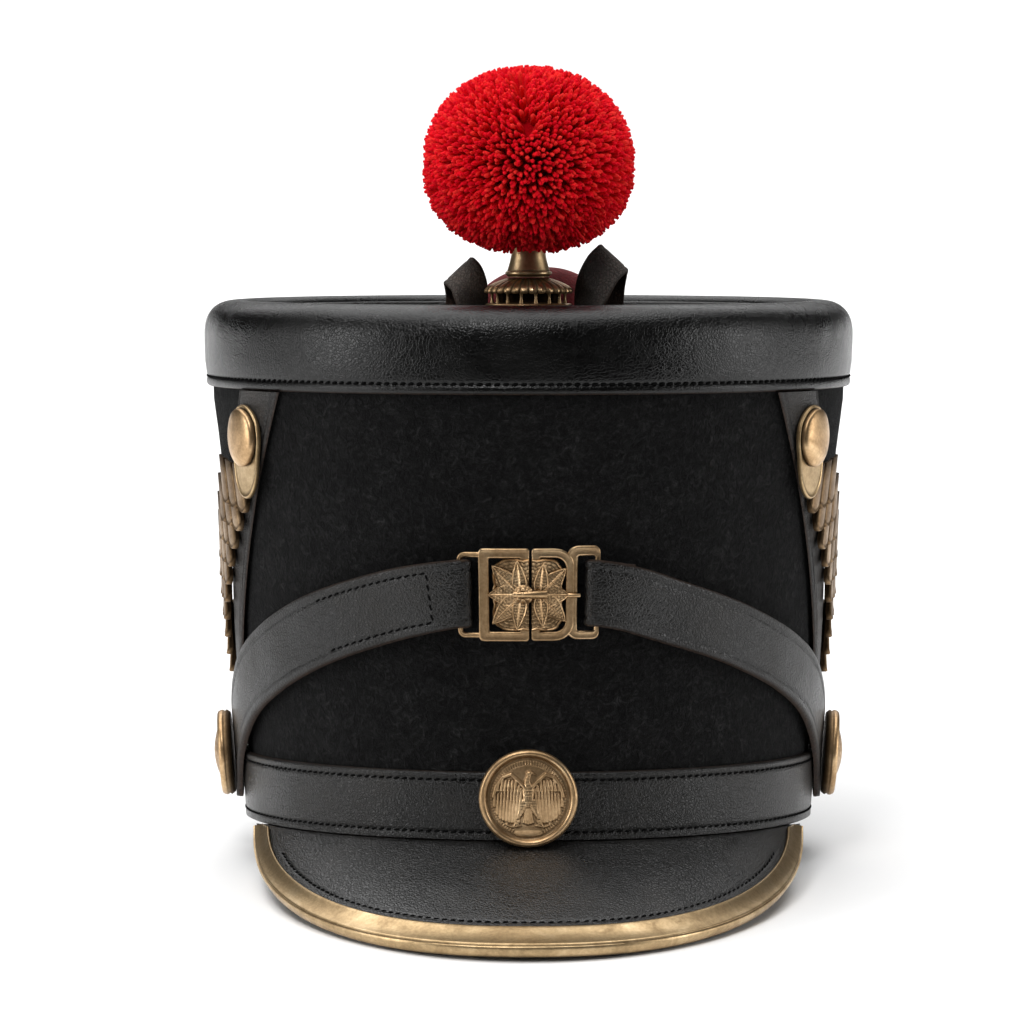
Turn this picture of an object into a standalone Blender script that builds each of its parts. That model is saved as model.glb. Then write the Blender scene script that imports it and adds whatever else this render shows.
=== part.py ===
"""A black felt shako with a leather crown and base band, a brass-edged peak, chin scales and a pompom.

The hat is built upright in its own frame: the lower edge of the felt lies at height 0, azimuth 0 is the
front (-Y) and azimuth grows towards +X. An empty then leans it back, as it stands on a table by itself, on
the brass edge of the peak and the back of the base. Sizes are metres. Left and right are seen from the front.
"""

from math import atan, cos, pi, radians, sin, sqrt

import bmesh
import bpy
from mathutils import Matrix, Vector

MM = 0.001

# Driving sizes of the wall
BASE_HALF_WIDTH = 94.4 * MM  # felt, at height 0
OVAL = 1.05  # front-to-back length over width
FLARE_SLOPE = 0.043  # the wall widens by this much a metre of height ...
FLARE_CURVE = 0.33  # ... and by this much times the height squared
FELT_THICKNESS = 3.0 * MM
GAP = 0.35 * MM  # left between pieces that touch
ROUND_STEPS = 40  # facets round the hat

# Crown: the leather rim is rolled over the top of the wall, round a corner with this centre
CORNER_RADIUS = 98.0 * MM
CORNER_HEIGHT = 162.3 * MM
CORNER_POWER = 2.6  # 2 is a round corner, more is squarer
CORNER_STEPS = 4
RIM_ROLL = 12.3 * MM
RIM_THICKNESS = 2.2 * MM
LIP_RADIUS = 94.4 * MM  # the leather turns down inside the crest to this radius
LIP_BOTTOM = 168.9 * MM
LIP_THICKNESS = 1.5 * MM
DISC_TOP = 170.3 * MM
DISC_THICKNESS = 1.8 * MM
DISC_FLANGE = 172.5 * MM

# Base band
BAND_BOTTOM = -0.8 * MM
BAND_TOP = 21.9 * MM
BAND_THICKNESS = 1.6 * MM
BAND_ROUNDING = 0.5 * MM

# Peak, measured on the upper face of its leather
PEAK_TOP = BAND_BOTTOM - GAP
PEAK_END_AZIMUTH = radians(66)
PEAK_HALF_WIDTH = 91.4 * MM
PEAK_END_FORWARD = 36.0 * MM
PEAK_FORWARD = 156.0 * MM
PEAK_DROP = 29.2 * MM
PEAK_POWER = 3.0  # how square the edge looks from the front
PEAK_THICKNESS = 2.2 * MM
PEAK_COLUMNS = 24
PEAK_ROOT = 2.6 * MM  # the root reaches this far under the felt's lower edge
PEAK_START = 2.2 * MM  # the peak bends down this far outside the felt
PEAK_CROWN = 1.6 * MM  # rise of the peak's middle over a straight line from root to edge
TRIM_WIDTH_FRONT = 10.6 * MM
TRIM_WIDTH_END = 7.0 * MM
TRIM_THICKNESS = 0.6 * MM
TRIM_GAP = 0.45 * MM
TRIM_MOST = 0.86  # most of the peak's length that the trim may cover
TRIM_REACH = 0.972  # the trim ends just short of the peak's ends

# Front strap: one half runs from each side button up to the buckle, and the left one is the wider of the two
STRAP_ROUTES = {
    # azimuth in degrees, height and width in mm of the strap, from the buckle to the end
    -1: (
        (12.4, 80.8, 22.4),
        (18.5, 79.0, 23.0),
        (26.5, 75.9, 23.4),
        (37.0, 70.6, 23.8),
        (46.0, 65.2, 24.0),
        (57.0, 57.0, 23.8),
        (68.5, 46.8, 23.2),
        (78.0, 35.0, 22.2),
        (85.0, 24.5, 21.0),
        (90.0, 14.5, 20.0),
        (92.0, 8.0, 19.4),
    ),
    1: (
        (12.4, 81.0, 21.8),
        (18.5, 78.8, 21.6),
        (26.5, 74.5, 21.2),
        (37.0, 68.9, 20.8),
        (46.0, 63.4, 20.6),
        (57.0, 55.9, 20.4),
        (68.5, 46.4, 20.2),
        (78.0, 35.0, 20.0),
        (85.0, 24.5, 19.8),
        (90.0, 14.5, 19.6),
        (92.0, 8.0, 19.4),
    ),
}
STRAP_THICKNESS = 2.4 * MM
STRAP_LIFT = 2.4 * MM  # clear of the chevrons that it crosses
STRAP_STEPS = 26

# Buckle, in its own frame: x to the right, z up, y = 0 at its back
BUCKLE_HEIGHT = 80.7 * MM
BUCKLE_STANDOFF = 3.3 * MM
BUCKLE_BAR = 2.2 * MM
BUCKLE_LOOP_BAR = 1.6 * MM
BUCKLE_LOOP_INSET = 0.3 * MM  # each loop is this much thinner, front and back, than its frame
END_BAR_X = 21.5 * MM  # middle of the bar that the strap is folded round
FOLD_BACK = 13.0 * MM  # the strap's end lies this far back behind the end bar
STRAP_FALL = 0.15  # slope of the strap there

# Side chevrons: a V of leather on each side, its legs' edges by height
CHEVRON_EDGES = (
    # height in mm, azimuth in degrees of the outer edge and of the inner edge of the front leg
    (145.3, 48.9, 61.8),
    (124.0, 55.3, 67.6),
    (105.0, 61.2, 72.4),
    (86.0, 67.0, 77.2),
    (67.0, 72.6, 82.0),
    (48.0, 77.6, 86.4),
    (33.0, 81.4, 90.0),
    (22.4, 84.0, 90.0),
)
CHEVRON_LIFT = 0.5 * MM
CHEVRON_THICKNESS = 1.5 * MM

# Boss and chin scales, on the front leg of each chevron
BOSS_AZIMUTH = radians(59.9)
BOSS_HEIGHT = 129.8 * MM
BOSS_RADIUS = 9.7 * MM
BOSS_NARROW = 0.86  # width over height of the boss and its plate
BOSS_RISE = 3.4 * MM
PLATE_RADIUS = 10.9 * MM
PLATE_TAIL = 20.5 * MM
PLATE_THICKNESS = 1.0 * MM
SCALE_COUNT = 10
SCALE_FIRST = (radians(67.6), 113.5 * MM)  # azimuth and height of the middle of the first scale
SCALE_LAST = (radians(97.0), 56.0 * MM)
SCALE_WIDTHS = (21.5 * MM, 14.0 * MM)  # first and last
SCALE_LENGTH = 16.5 * MM
SCALE_LEAN = radians(17)  # each scale points down and this much forward
SCALE_ROW = radians(10)  # and its upper edge rises this much towards the back
SCALE_THICKNESS = 0.8 * MM
SCALE_LOBE = 3.6 * MM
SCALE_TILT = 0.15  # rise of each scale over the next, for each metre of its length
SCALE_LOBES = 3

# Buttons
FRONT_BUTTON_SHAPE = (
    # radius, thickness up to the top of the ring, dome of the face, then the ring's underside as
    # (share of the radius, height)
    16.2 * MM, 4.6 * MM, 1.3 * MM, ((0.86, 1.0 * MM), (0.76, 0.0)),
)
SIDE_BUTTON_SHAPE = (14.5 * MM, 4.4 * MM, 3.0 * MM, ((1.0, 1.2 * MM), (0.94, 0.0)))
FRONT_BUTTON_HEIGHT = 13.9 * MM
SIDE_BUTTON_HEIGHT = 20.3 * MM
FRONT_BUTTON_LIFT = 3.2 * MM  # back of the button off the felt
SIDE_BUTTON_LIFT = 5.4 * MM
SIDE_BUTTON_LEAN = radians(4)
BUTTON_STEPS = 20

# Pompom, its brass socket and what stands round it, on the crown disc near the front
TOP_Y = -62.0 * MM
POMPOM_HEIGHT = 221.9 * MM
POMPOM_HALF_WIDTH = 35.2 * MM
POMPOM_HALF_HEIGHT = 31.2 * MM
TUFT_RISE = 4.2 * MM
STEM_RADIUS = 3.4 * MM
SOCKET_TOP = 193.4 * MM
SOCKET_BOTTOM = 183.2 * MM
SOCKET_TOP_RADIUS = 5.5 * MM
SOCKET_FOOT_RADIUS = 7.7 * MM
SOCKET_WALL = 1.0 * MM
FOOT_HALF_WIDTH = 14.3 * MM
FOOT_DEPTH_SHARE = 0.68
FOOT_POSTS = 10
RED_PAD_CENTRE = (4.0 * MM, -33.0 * MM)
RED_PAD_HALF_WIDTH = 23.0 * MM
RED_PAD_DEPTH_SHARE = 0.66
RED_PAD_RISE = 15.6 * MM
BOW_WIDTH = 13.0 * MM
BOW_THICKNESS = 1.5 * MM
BOW_ROUTE = (
    # x and y from the socket and z in mm of the strip's middle, then roll and yaw in degrees of its width
    (19.2, 1.0, 171.0, 0.0, -50.0),
    (19.6, 0.0, 175.2, 12.0, -42.0),
    (21.4, -1.6, 180.8, 30.0, -24.0),
    (24.4, -2.0, 185.9, 41.0, -8.0),
    (27.4, -0.6, 188.9, 43.0, 0.0),
    (28.7, 2.4, 189.9, 43.0, 0.0),
    (28.3, 5.4, 188.3, 43.0, 0.0),
    (27.2, 7.4, 183.7, 40.0, 0.0),
    (25.8, 8.4, 178.3, 24.0, 0.0),
    (24.4, 8.6, 171.0, 0.0, 0.0),
)
LEFT_BOW_ROUTE = (
    # the left loop is lower and stands nearer the socket
    (17.6, 3.0, 171.0, 0.0, -50.0),
    (17.8, 2.2, 174.2, 12.0, -42.0),
    (18.7, 1.0, 178.6, 28.0, -26.0),
    (20.4, 0.8, 182.5, 40.0, -10.0),
    (22.6, 2.2, 184.9, 43.0, 0.0),
    (23.8, 5.0, 185.6, 43.0, 0.0),
    (23.5, 8.0, 184.4, 43.0, 0.0),
    (22.7, 10.0, 180.8, 40.0, 0.0),
    (21.7, 11.0, 176.6, 24.0, 0.0),
    (20.7, 11.2, 171.0, 0.0, 0.0),
)


def clear_scene():
    for obj in list(bpy.data.objects):
        bpy.data.objects.remove(obj, do_unlink=True)


def new_collection(name):
    collection = bpy.data.collections.new(name)
    bpy.context.scene.collection.children.link(collection)
    return collection


def new_material(name, colour, roughness, metallic=0.0):
    material = bpy.data.materials.new(name)
    material.use_nodes = True
    shader = material.node_tree.nodes["Principled BSDF"]
    shader.inputs["Base Color"].default_value = (*colour, 1.0)
    shader.inputs["Roughness"].default_value = roughness
    shader.inputs["Metallic"].default_value = metallic
    return material


clear_scene()
HAT = new_collection("shako")
FELT = new_material("felt", (0.010, 0.010, 0.011), 0.95)
LEATHER = new_material("leather", (0.018, 0.017, 0.016), 0.42)
BRASS = new_material("brass", (0.46, 0.32, 0.16), 0.36, 1.0)
RED_WOOL = new_material("red_wool", (0.62, 0.012, 0.012), 0.9)
RED_CLOTH = new_material("red_cloth", (0.17, 0.010, 0.012), 0.9)


# ---------------------------------------------------------------- shared helpers


def add_object(name, mesh, material):
    obj = bpy.data.objects.new(name, mesh)
    if material and not mesh.materials:
        mesh.materials.append(material)
    HAT.objects.link(obj)
    return obj


def mesh_from(name, bm):
    bmesh.ops.recalc_face_normals(bm, faces=bm.faces)
    mesh = bpy.data.meshes.new(name)
    bm.to_mesh(mesh)
    bm.free()
    return mesh


def smooth(obj, angle=radians(35)):
    obj.data.shade_smooth()
    obj.data.set_sharp_from_angle(angle=angle)
    return obj


def turned(name, profile, material, steps=ROUND_STEPS, closed=True):
    """A profile of (radius, height) turned about Z. It runs down the outer side, then up the inner one."""
    mesh = bpy.data.meshes.new(name)
    last = len(profile) if closed else len(profile) - 1
    edges = [(i, (i + 1) % len(profile)) for i in range(last)]
    mesh.from_pydata([(radius, 0.0, height) for radius, height in profile], edges, [])
    obj = add_object(name, mesh, material)
    screw = obj.modifiers.new("turn", "SCREW")
    screw.angle = 2 * pi
    screw.steps = screw.render_steps = steps
    screw.use_merge_vertices = True
    screw.merge_threshold = 0.00001
    screw.use_smooth_shade = True
    return obj


def sheet(name, columns, rows, place, thickness, material):
    """A shell of this thickness on a grid, whose point (u, v), both from 0 to 1, place() puts in space."""
    bm = bmesh.new()
    bmesh.ops.create_grid(bm, x_segments=columns, y_segments=rows, size=0.5)
    for vertex in bm.verts:
        vertex.co = place(vertex.co.x + 0.5, vertex.co.y + 0.5)
    mesh = bpy.data.meshes.new(name)
    bm.to_mesh(mesh)
    bm.free()
    obj = add_object(name, mesh, material)
    solidify = obj.modifiers.new("thickness", "SOLIDIFY")
    solidify.thickness = abs(thickness)
    solidify.offset = 1.0 if thickness > 0 else -1.0
    solidify.use_even_offset = True
    return obj


def apply_modifiers(obj):
    """The object's evaluated mesh in place of its own, as a Boolean needs."""
    graph = bpy.context.evaluated_depsgraph_get()
    graph.update()
    mesh = bpy.data.meshes.new_from_object(obj.evaluated_get(graph), depsgraph=graph)
    obj.modifiers.clear()
    obj.data = mesh
    return obj


def joined(obj, others, operation="UNION"):
    """obj with the others joined to it, or cut from it, one by one."""
    for other in others:
        boolean = obj.modifiers.new(operation.lower(), "BOOLEAN")
        boolean.operation = operation
        boolean.solver = "EXACT"
        boolean.object = other
    bpy.context.view_layer.update()
    apply_modifiers(obj)
    for other in others:
        bpy.data.objects.remove(other, do_unlink=True)
    return obj


def spline(points, at):
    """A smooth curve through the points, each a tuple of numbers; at runs from 0 to 1."""
    place = at * (len(points) - 1)
    first = min(int(place), len(points) - 2)
    t = place - first
    p0, p1, p2, p3 = (
        points[min(max(first + k, 0), len(points) - 1)] for k in (-1, 0, 1, 2)
    )
    return tuple(
        0.5
        * (
            2 * b
            + (c - a) * t
            + (2 * a - 5 * b + 4 * c - d) * t**2
            + (3 * b - 3 * c + d - a) * t**3
        )
        for a, b, c, d in zip(p0, p1, p2, p3)
    )


# ---------------------------------------------------------------- the wall


def wall_half_width(height):
    return BASE_HALF_WIDTH + FLARE_SLOPE * height + FLARE_CURVE * height**2


def wall_point(azimuth, height, lift):
    """The point that stands lift off the outer face of the felt."""
    half = wall_half_width(height)
    return Vector(
        (
            (half + lift) * sin(azimuth),
            -(half * OVAL + lift) * cos(azimuth),
            height,
        )
    )


def wall_slope(height):
    return atan(FLARE_SLOPE + 2 * FLARE_CURVE * height)


def arc_per_radian(azimuth, height):
    """Length along the wall for each radian of azimuth."""
    half = wall_half_width(height)
    return half * sqrt(cos(azimuth) ** 2 + (OVAL * sin(azimuth)) ** 2)


def corner(roll, start=0.0, end=1.0):
    """The rolled corner of the crown at this distance from its centre, from its side (0) to its crest (1)."""
    points = []
    for step in range(CORNER_STEPS + 1):
        angle = pi / 2 * (start + (end - start) * step / CORNER_STEPS)
        across = max(cos(angle), 0.0) ** (2 / CORNER_POWER)
        up = max(sin(angle), 0.0) ** (2 / CORNER_POWER)
        points.append((CORNER_RADIUS + roll * across, CORNER_HEIGHT + roll * up))
    return points


def build_felt_body():
    heights = [0.0, 36 * MM, 72 * MM, 108 * MM, 141 * MM]
    outer = [(wall_half_width(height), height) for height in heights]
    outer += corner(RIM_ROLL - RIM_THICKNESS - GAP, end=0.97)
    inner = [(radius - FELT_THICKNESS, height) for radius, height in outer[: len(heights)]]
    inner += corner(RIM_ROLL - RIM_THICKNESS - GAP - FELT_THICKNESS, end=0.97)
    felt = turned("felt_body", outer[::-1] + inner, FELT)
    felt.scale.y = OVAL
    return felt


def build_crown_rim():
    """The leather rim: a skirt over the top of the felt, rolled over the crest and turned down inside it."""
    skirt = (
        # height, outer half-width, inner half-width, in mm
        (145.7, 108.6, 107.9),
        (146.3, 109.2, 107.9),
        (154.0, 110.0, 107.9),
    )
    outer = [(row[1] * MM, row[0] * MM) for row in skirt] + corner(RIM_ROLL)
    outer += [(96.2 * MM, 174.2 * MM), (94.9 * MM, 173.2 * MM), (LIP_RADIUS, 171.7 * MM)]
    outer += [(LIP_RADIUS, LIP_BOTTOM)]
    inner = [(row[2] * MM, row[0] * MM) for row in skirt]
    inner += corner(RIM_ROLL - RIM_THICKNESS, end=0.94)
    inner += [(LIP_RADIUS + LIP_THICKNESS, 171.9 * MM), (LIP_RADIUS + LIP_THICKNESS, LIP_BOTTOM)]
    rim = turned("crown_rim", outer[::-1] + inner, LEATHER)
    rim.scale.y = OVAL
    return rim


def build_crown_disc():
    """The flat top, a dish whose edge stands up inside the rim."""
    edge = LIP_RADIUS - GAP
    flange = 1.4 * MM
    under = DISC_TOP - DISC_THICKNESS
    profile = [
        (0.0, DISC_TOP),
        (edge - flange - 0.4 * MM, DISC_TOP),
        (edge - flange, DISC_FLANGE - 0.4 * MM),
        (edge - flange + 0.4 * MM, DISC_FLANGE),
        (edge, DISC_FLANGE - 0.3 * MM),
        (edge, under),
        (0.0, under),
    ]
    disc = turned("crown_disc", profile, LEATHER, closed=False)
    disc.scale.y = OVAL
    return disc


def build_base_band():
    def at(height, lift):
        return (wall_half_width(height) + GAP + lift, height)

    profile = [
        at(BAND_TOP, 0.0),
        at(BAND_TOP, BAND_THICKNESS - BAND_ROUNDING),
        at(BAND_TOP - BAND_ROUNDING, BAND_THICKNESS),
        at(BAND_BOTTOM + BAND_ROUNDING, BAND_THICKNESS),
        at(BAND_BOTTOM, BAND_THICKNESS - BAND_ROUNDING),
        at(BAND_BOTTOM, 0.0),
    ]
    band = turned("base_band", profile, LEATHER)
    band.scale.y = OVAL
    return band


# ---------------------------------------------------------------- peak


def peak_edge(turn):
    """The outer edge of the peak's leather; turn runs from -1 at one end, through 0 at the front, to 1."""
    across = sin(turn * pi / 2)
    forward = PEAK_END_FORWARD + (PEAK_FORWARD - PEAK_END_FORWARD) * cos(turn * pi / 2)
    down = max(1 - abs(across) ** PEAK_POWER, 0.0) ** (1 / PEAK_POWER)
    return Vector((PEAK_HALF_WIDTH * across, -forward, PEAK_TOP - PEAK_DROP * down))


def peak_root(turn, reach):
    """A point on the flat root of the peak, reach outside the felt's lower edge."""
    point = wall_point(turn * PEAK_END_AZIMUTH, 0.0, reach)
    point.z = PEAK_TOP
    return point


def peak_turn(u):
    """Spreads the grid's columns so that the ends, where the edge bends most, get more of them."""
    t = 2 * u - 1
    return t * (1.28 - 0.28 * t * t)


def peak_point(turn, v, lift=0.0):
    """A point of the peak's upper face: v is 0 where it leaves the base band and 1 at its edge."""
    start = peak_root(turn, PEAK_START)
    end = peak_edge(turn)
    point = start.lerp(end, v)
    point.z += PEAK_CROWN * sin(pi * v) * (1 - abs(turn) ** 3)
    if lift:
        point += lift * peak_normal(turn, v)
    return point


def peak_normal(turn, v):
    step = 0.004
    along = peak_point(min(turn + step, 1.0), v) - peak_point(max(turn - step, -1.0), v)
    out = peak_point(turn, min(v + step, 1.0)) - peak_point(turn, max(v - step, 0.0))
    normal = out.cross(along)
    if normal.length < 1e-12:
        return Vector((0, 0, 1))
    normal.normalize()
    return normal if normal.z > -0.2 else -normal


def build_peak():
    root_rows = 2
    rows = 6

    def place(u, v):
        turn = peak_turn(u)
        row = round(v * rows)
        if row < root_rows:
            reach = (-PEAK_ROOT, 0.6 * MM)[row]
            return peak_root(turn, reach)
        return peak_point(turn, (row - root_rows) / (rows - root_rows))

    return smooth(sheet("peak", PEAK_COLUMNS, rows, place, PEAK_THICKNESS, LEATHER), radians(40))


def trim_width(turn):
    return TRIM_WIDTH_FRONT + (TRIM_WIDTH_END - TRIM_WIDTH_FRONT) * abs(turn) ** 1.5


def build_peak_trim():
    """A brass channel that hugs the peak's edge: over it, round it and back under it."""
    over = TRIM_GAP
    under = -PEAK_THICKNESS - TRIM_GAP
    section = (
        # share of the trim's width in from the edge, reach past the edge, lift off the peak's upper face
        (1.0, 0.0, over),
        (0.5, 0.0, over),
        (0.0, GAP, over),
        (0.0, GAP, under),
        (0.35, 0.0, under),
        (0.7, 0.0, under),
    )

    def place(u, v):
        turn = min(max(peak_turn(u), -TRIM_REACH), TRIM_REACH)
        share, reach, lift = section[round(v * (len(section) - 1))]
        length = (peak_edge(turn) - peak_root(turn, PEAK_START)).length
        inward = min(share * trim_width(turn), TRIM_MOST * length)
        point = peak_point(turn, 1 - inward / length) + lift * peak_normal(turn, 1 - inward / length)
        outward = peak_edge(turn) - peak_point(turn, 0.97)
        return point + reach * outward.normalized()

    trim = sheet("peak_trim", PEAK_COLUMNS, len(section) - 1, place, -TRIM_THICKNESS, BRASS)
    return smooth(trim, radians(40))


# ---------------------------------------------------------------- strap and buckle


def strap_middle(side, at):
    """Azimuth, height and width of the strap on this side, at 0 by the buckle and 1 at its end."""
    azimuth, height, width = spline(STRAP_ROUTES[side], at)
    return radians(azimuth), height * MM, width * MM


def strap_frame(side, at):
    """Middle and width of the strap and the unit direction across it, up the wall."""
    azimuth, height, width = strap_middle(side, at)
    step = 0.01
    a0, h0 = strap_middle(side, max(at - step, 0.0))[:2]
    a1, h1 = strap_middle(side, min(at + step, 1.0))[:2]
    along = (a1 - a0) * arc_per_radian(azimuth, height)
    rise = h1 - h0
    length = sqrt(along**2 + rise**2)
    return azimuth, height, width, (-rise / length, along / length)


def strap_lift(azimuth):
    """Inner face of the strap off the felt: it rises to pass over the end bar of the buckle."""
    nearness = min(max(0.0, 1 - (azimuth - radians(13)) / radians(17)), 1.0)
    over_bar = BUCKLE_STANDOFF + BUCKLE_BAR + GAP
    return STRAP_LIFT + (over_bar - STRAP_LIFT) * nearness**2 * (3 - 2 * nearness)


def on_front(x, rise, lift):
    """A point by the buckle: x and rise from its middle along the wall, lift off the felt."""
    return wall_point(x / arc_per_radian(0.0, BUCKLE_HEIGHT), BUCKLE_HEIGHT + rise, lift)


def build_strap(name, side):
    """From under the side button along the wall, over the buckle's end bar, round it and a bit back."""
    fold_steps = 5
    back_steps = 3
    columns = STRAP_STEPS + fold_steps + back_steps
    bar_middle = BUCKLE_STANDOFF + BUCKLE_BAR / 2
    fold_radius = BUCKLE_BAR / 2 + GAP
    back_lift = GAP + STRAP_THICKNESS + 0.15 * MM
    fold_azimuth, fold_height, fold_width = strap_middle(side, 0.0)

    def on_wall(index, share):
        azimuth, height, width, (along, up) = strap_frame(side, 1 - index / STRAP_STEPS)
        width *= (0.55, 0.9)[index] if index < 2 else 1.0
        upright = min(max((azimuth - fold_azimuth) / radians(9), 0.0), 1.0)
        moved = azimuth + upright * share * width * along / arc_per_radian(azimuth, height)
        rise = share * width * (1 + upright * (up - 1))
        return wall_point(moved, height + rise, strap_lift(azimuth))

    def place(u, v):
        index = round(u * columns)
        share = v - 0.5
        rise = share * fold_width + fold_height - BUCKLE_HEIGHT
        turned_by = pi * (index - STRAP_STEPS) / fold_steps
        if index <= STRAP_STEPS:
            point = on_wall(index, share)
        elif index <= STRAP_STEPS + fold_steps:
            lift = bar_middle + fold_radius * cos(turned_by)
            point = on_front(END_BAR_X - fold_radius * sin(turned_by), rise, lift)
        else:
            back = (index - STRAP_STEPS - fold_steps) / back_steps
            sink = STRAP_FALL * back * FOLD_BACK
            point = on_front(END_BAR_X + back * FOLD_BACK, rise - sink, back_lift)
        point.x *= side
        return point

    return smooth(sheet(name, columns, 2, place, -side * STRAP_THICKNESS, LEATHER), radians(50))


def slab(name, outlines, low, high, material=BRASS):
    """A flat piece between two heights; the first outline is its edge and the others are holes."""
    bm = bmesh.new()
    for outline in outlines:
        corners = [bm.verts.new((x * MM, y * MM, low)) for x, y in outline]
        if len(outlines) == 1:
            bm.faces.new(corners)
        else:
            for first, second in zip(corners, corners[1:] + corners[:1]):
                bm.edges.new((first, second))
    if len(outlines) == 1:
        bmesh.ops.triangulate(bm, faces=bm.faces[:])
    else:
        bmesh.ops.triangle_fill(bm, use_beauty=True, use_dissolve=False, edges=bm.edges[:])
    for face in bm.faces:
        face.normal_update()
        if face.normal.z < 0:
            face.normal_flip()
    mesh = bpy.data.meshes.new(name)
    bm.to_mesh(mesh)
    bm.free()
    obj = add_object(name, mesh, material)
    solidify = obj.modifiers.new("thickness", "SOLIDIFY")
    solidify.thickness = high - low
    solidify.offset = 1.0
    return apply_modifiers(obj)


def rounded_box(x0, x1, y0, y1, left_corner, right_corner, steps=3):
    """Outline of a rectangle whose left and right corners are rounded off by these radii, in mm."""
    points = []
    for x, y, radius, start in (
        (x1, y0, right_corner, -90),
        (x1, y1, right_corner, 0),
        (x0, y1, left_corner, 90),
        (x0, y0, left_corner, 180),
    ):
        centre_x = x - radius if x == x1 else x + radius
        centre_y = y - radius if y == y1 else y + radius
        for step in range(steps + 1):
            angle = radians(start + 90 * step / steps)
            points.append((centre_x + radius * cos(angle), centre_y + radius * sin(angle)))
    return points


def pointed_oval(x, half_width, half_height, steps=7):
    """Outline of an upright leaf with a point at each end, in mm."""
    angles = [pi * k / steps for k in range(steps + 1)]
    right = [(x + half_width * sin(a), -half_height * cos(a)) for a in angles]
    left = [(x - half_width * sin(a), half_height * cos(a)) for a in angles[1:-1]]
    return right + left


def bar_ring(name, box, bars, corners, low, high):
    """A closed frame in the rectangle box = (x0, x1, y0, y1), in mm; bars are its widths on those sides."""
    x0, x1, y0, y1 = box
    left, right, bottom, top = bars
    inner = [max(radius - bar, 0.6) for radius, bar in zip(corners, bars)]
    hole = rounded_box(x0 + left, x1 - right, y0 + bottom, y1 - top, *inner)
    return slab(name, [rounded_box(*box, *corners), hole], low, high)


def wrap_on_front(obj):
    """Bends a flat piece, whose z is its height off the buckle's back, round the front of the wall."""
    for vertex in obj.data.vertices:
        x, rise, lift = vertex.co
        vertex.co = on_front(x, rise, BUCKLE_STANDOFF + lift)
    return obj


def build_buckle_left():
    """A square frame with a leaf in it and a wire loop for the strap."""
    bar = BUCKLE_BAR
    inset = BUCKLE_LOOP_INSET
    end = (END_BAR_X + BUCKLE_LOOP_BAR / 2) / MM
    frame = bar_ring("buckle_left", (-15.5, 0.2, -15.5, 15.0), (3.2, 2.6, 3.2, 3.2), (1.6, 1.0), 0.0, bar)
    loop = bar_ring("loop", (-end, -13.6, -14.4, 13.8), (1.6, 1.8, 1.8, 1.8), (2.2, 0.8), inset, bar - inset)
    leaf = slab("leaf", [pointed_oval(-7.6, 5.2, 13.4)], 0.3 * MM, bar + 0.35 * MM)
    arm = slab("arm", [rounded_box(-14.0, -1.0, -1.1, 1.1, 0.4, 0.4, 1)], 0.4 * MM, bar - 0.25 * MM)
    return smooth(wrap_on_front(joined(frame, [loop, leaf, arm])))


def build_buckle_right():
    """A rounded frame with a leaf in it, a loop for the strap and a hook that grips the left frame."""
    bar = BUCKLE_BAR
    inset = BUCKLE_LOOP_INSET
    end = (END_BAR_X + BUCKLE_LOOP_BAR / 2) / MM
    frame = bar_ring("buckle_right", (1.0, 14.2, -15.3, 15.0), (2.5, 2.5, 3.0, 3.0), (1.0, 6.0), 0.0, bar)
    loop = bar_ring("loop", (11.9, end, -14.9, 15.9), (3.4, 1.6, 2.9, 3.4), (3.6, 2.2), inset, bar - inset)
    leaf = slab("leaf", [pointed_oval(7.2, 4.6, 13.0)], 0.3 * MM, bar + 0.35 * MM)
    arm = slab("arm", [rounded_box(2.0, 12.6, -1.1, 1.1, 0.4, 0.4, 1)], 0.4 * MM, bar - 0.25 * MM)
    riser = slab("riser", [rounded_box(1.4, 3.6, -2.6, 2.6, 0.4, 0.4, 1)], 0.9 * MM, bar + 1.2 * MM)
    tongue = slab("tongue", [rounded_box(-4.0, 3.0, -2.0, 2.0, 1.6, 0.6)], bar + 0.6 * MM, bar + 1.6 * MM)
    stud = slab("stud", [ring_outline(-1.0, 0.0, 3.2, 12)], bar + 0.8 * MM, bar + 2.1 * MM)
    whole = joined(frame, [loop, leaf, arm, riser, tongue, stud])
    return smooth(wrap_on_front(whole))


def ring_outline(x, y, radius, steps):
    """Corners of a circle, in mm."""
    angles = [2 * pi * k / steps for k in range(steps)]
    return [(x + radius * cos(a), y + radius * sin(a)) for a in angles]


# ---------------------------------------------------------------- side chevrons, bosses and chin scales


def chevron_rows():
    """The rows of CHEVRON_EDGES and one between each two, so that the leather keeps to the round wall."""
    rows = [CHEVRON_EDGES[0]]
    for upper, lower in zip(CHEVRON_EDGES, CHEVRON_EDGES[1:]):
        rows.append(tuple((a + b) / 2 for a, b in zip(upper, lower)))
        rows.append(lower)
    return rows


def build_chevron(name, side):
    """A V of leather whose two legs run from the crown's rim down to the side button."""
    columns = 2
    bm = bmesh.new()
    for mirror in (1, -1):
        grid = []
        for height, outer, inner in chevron_rows():
            row = []
            for column in range(columns + 1):
                azimuth = outer + (inner - outer) * column / columns
                azimuth = azimuth if mirror == 1 else 180 - azimuth
                point = wall_point(side * radians(azimuth), height * MM, CHEVRON_LIFT)
                row.append(bm.verts.new(point))
            grid.append(row)
        for upper, lower in zip(grid, grid[1:]):
            for column in range(columns):
                corners = (upper[column], lower[column], lower[column + 1], upper[column + 1])
                bm.faces.new(corners if mirror * side > 0 else corners[::-1])
    bmesh.ops.remove_doubles(bm, verts=bm.verts, dist=0.00001)
    mesh = bpy.data.meshes.new(name)
    bm.to_mesh(mesh)
    bm.free()
    obj = add_object(name, mesh, LEATHER)
    solidify = obj.modifiers.new("thickness", "SOLIDIFY")
    solidify.thickness = CHEVRON_THICKNESS
    solidify.offset = 1.0
    return smooth(obj, radians(40))


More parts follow.
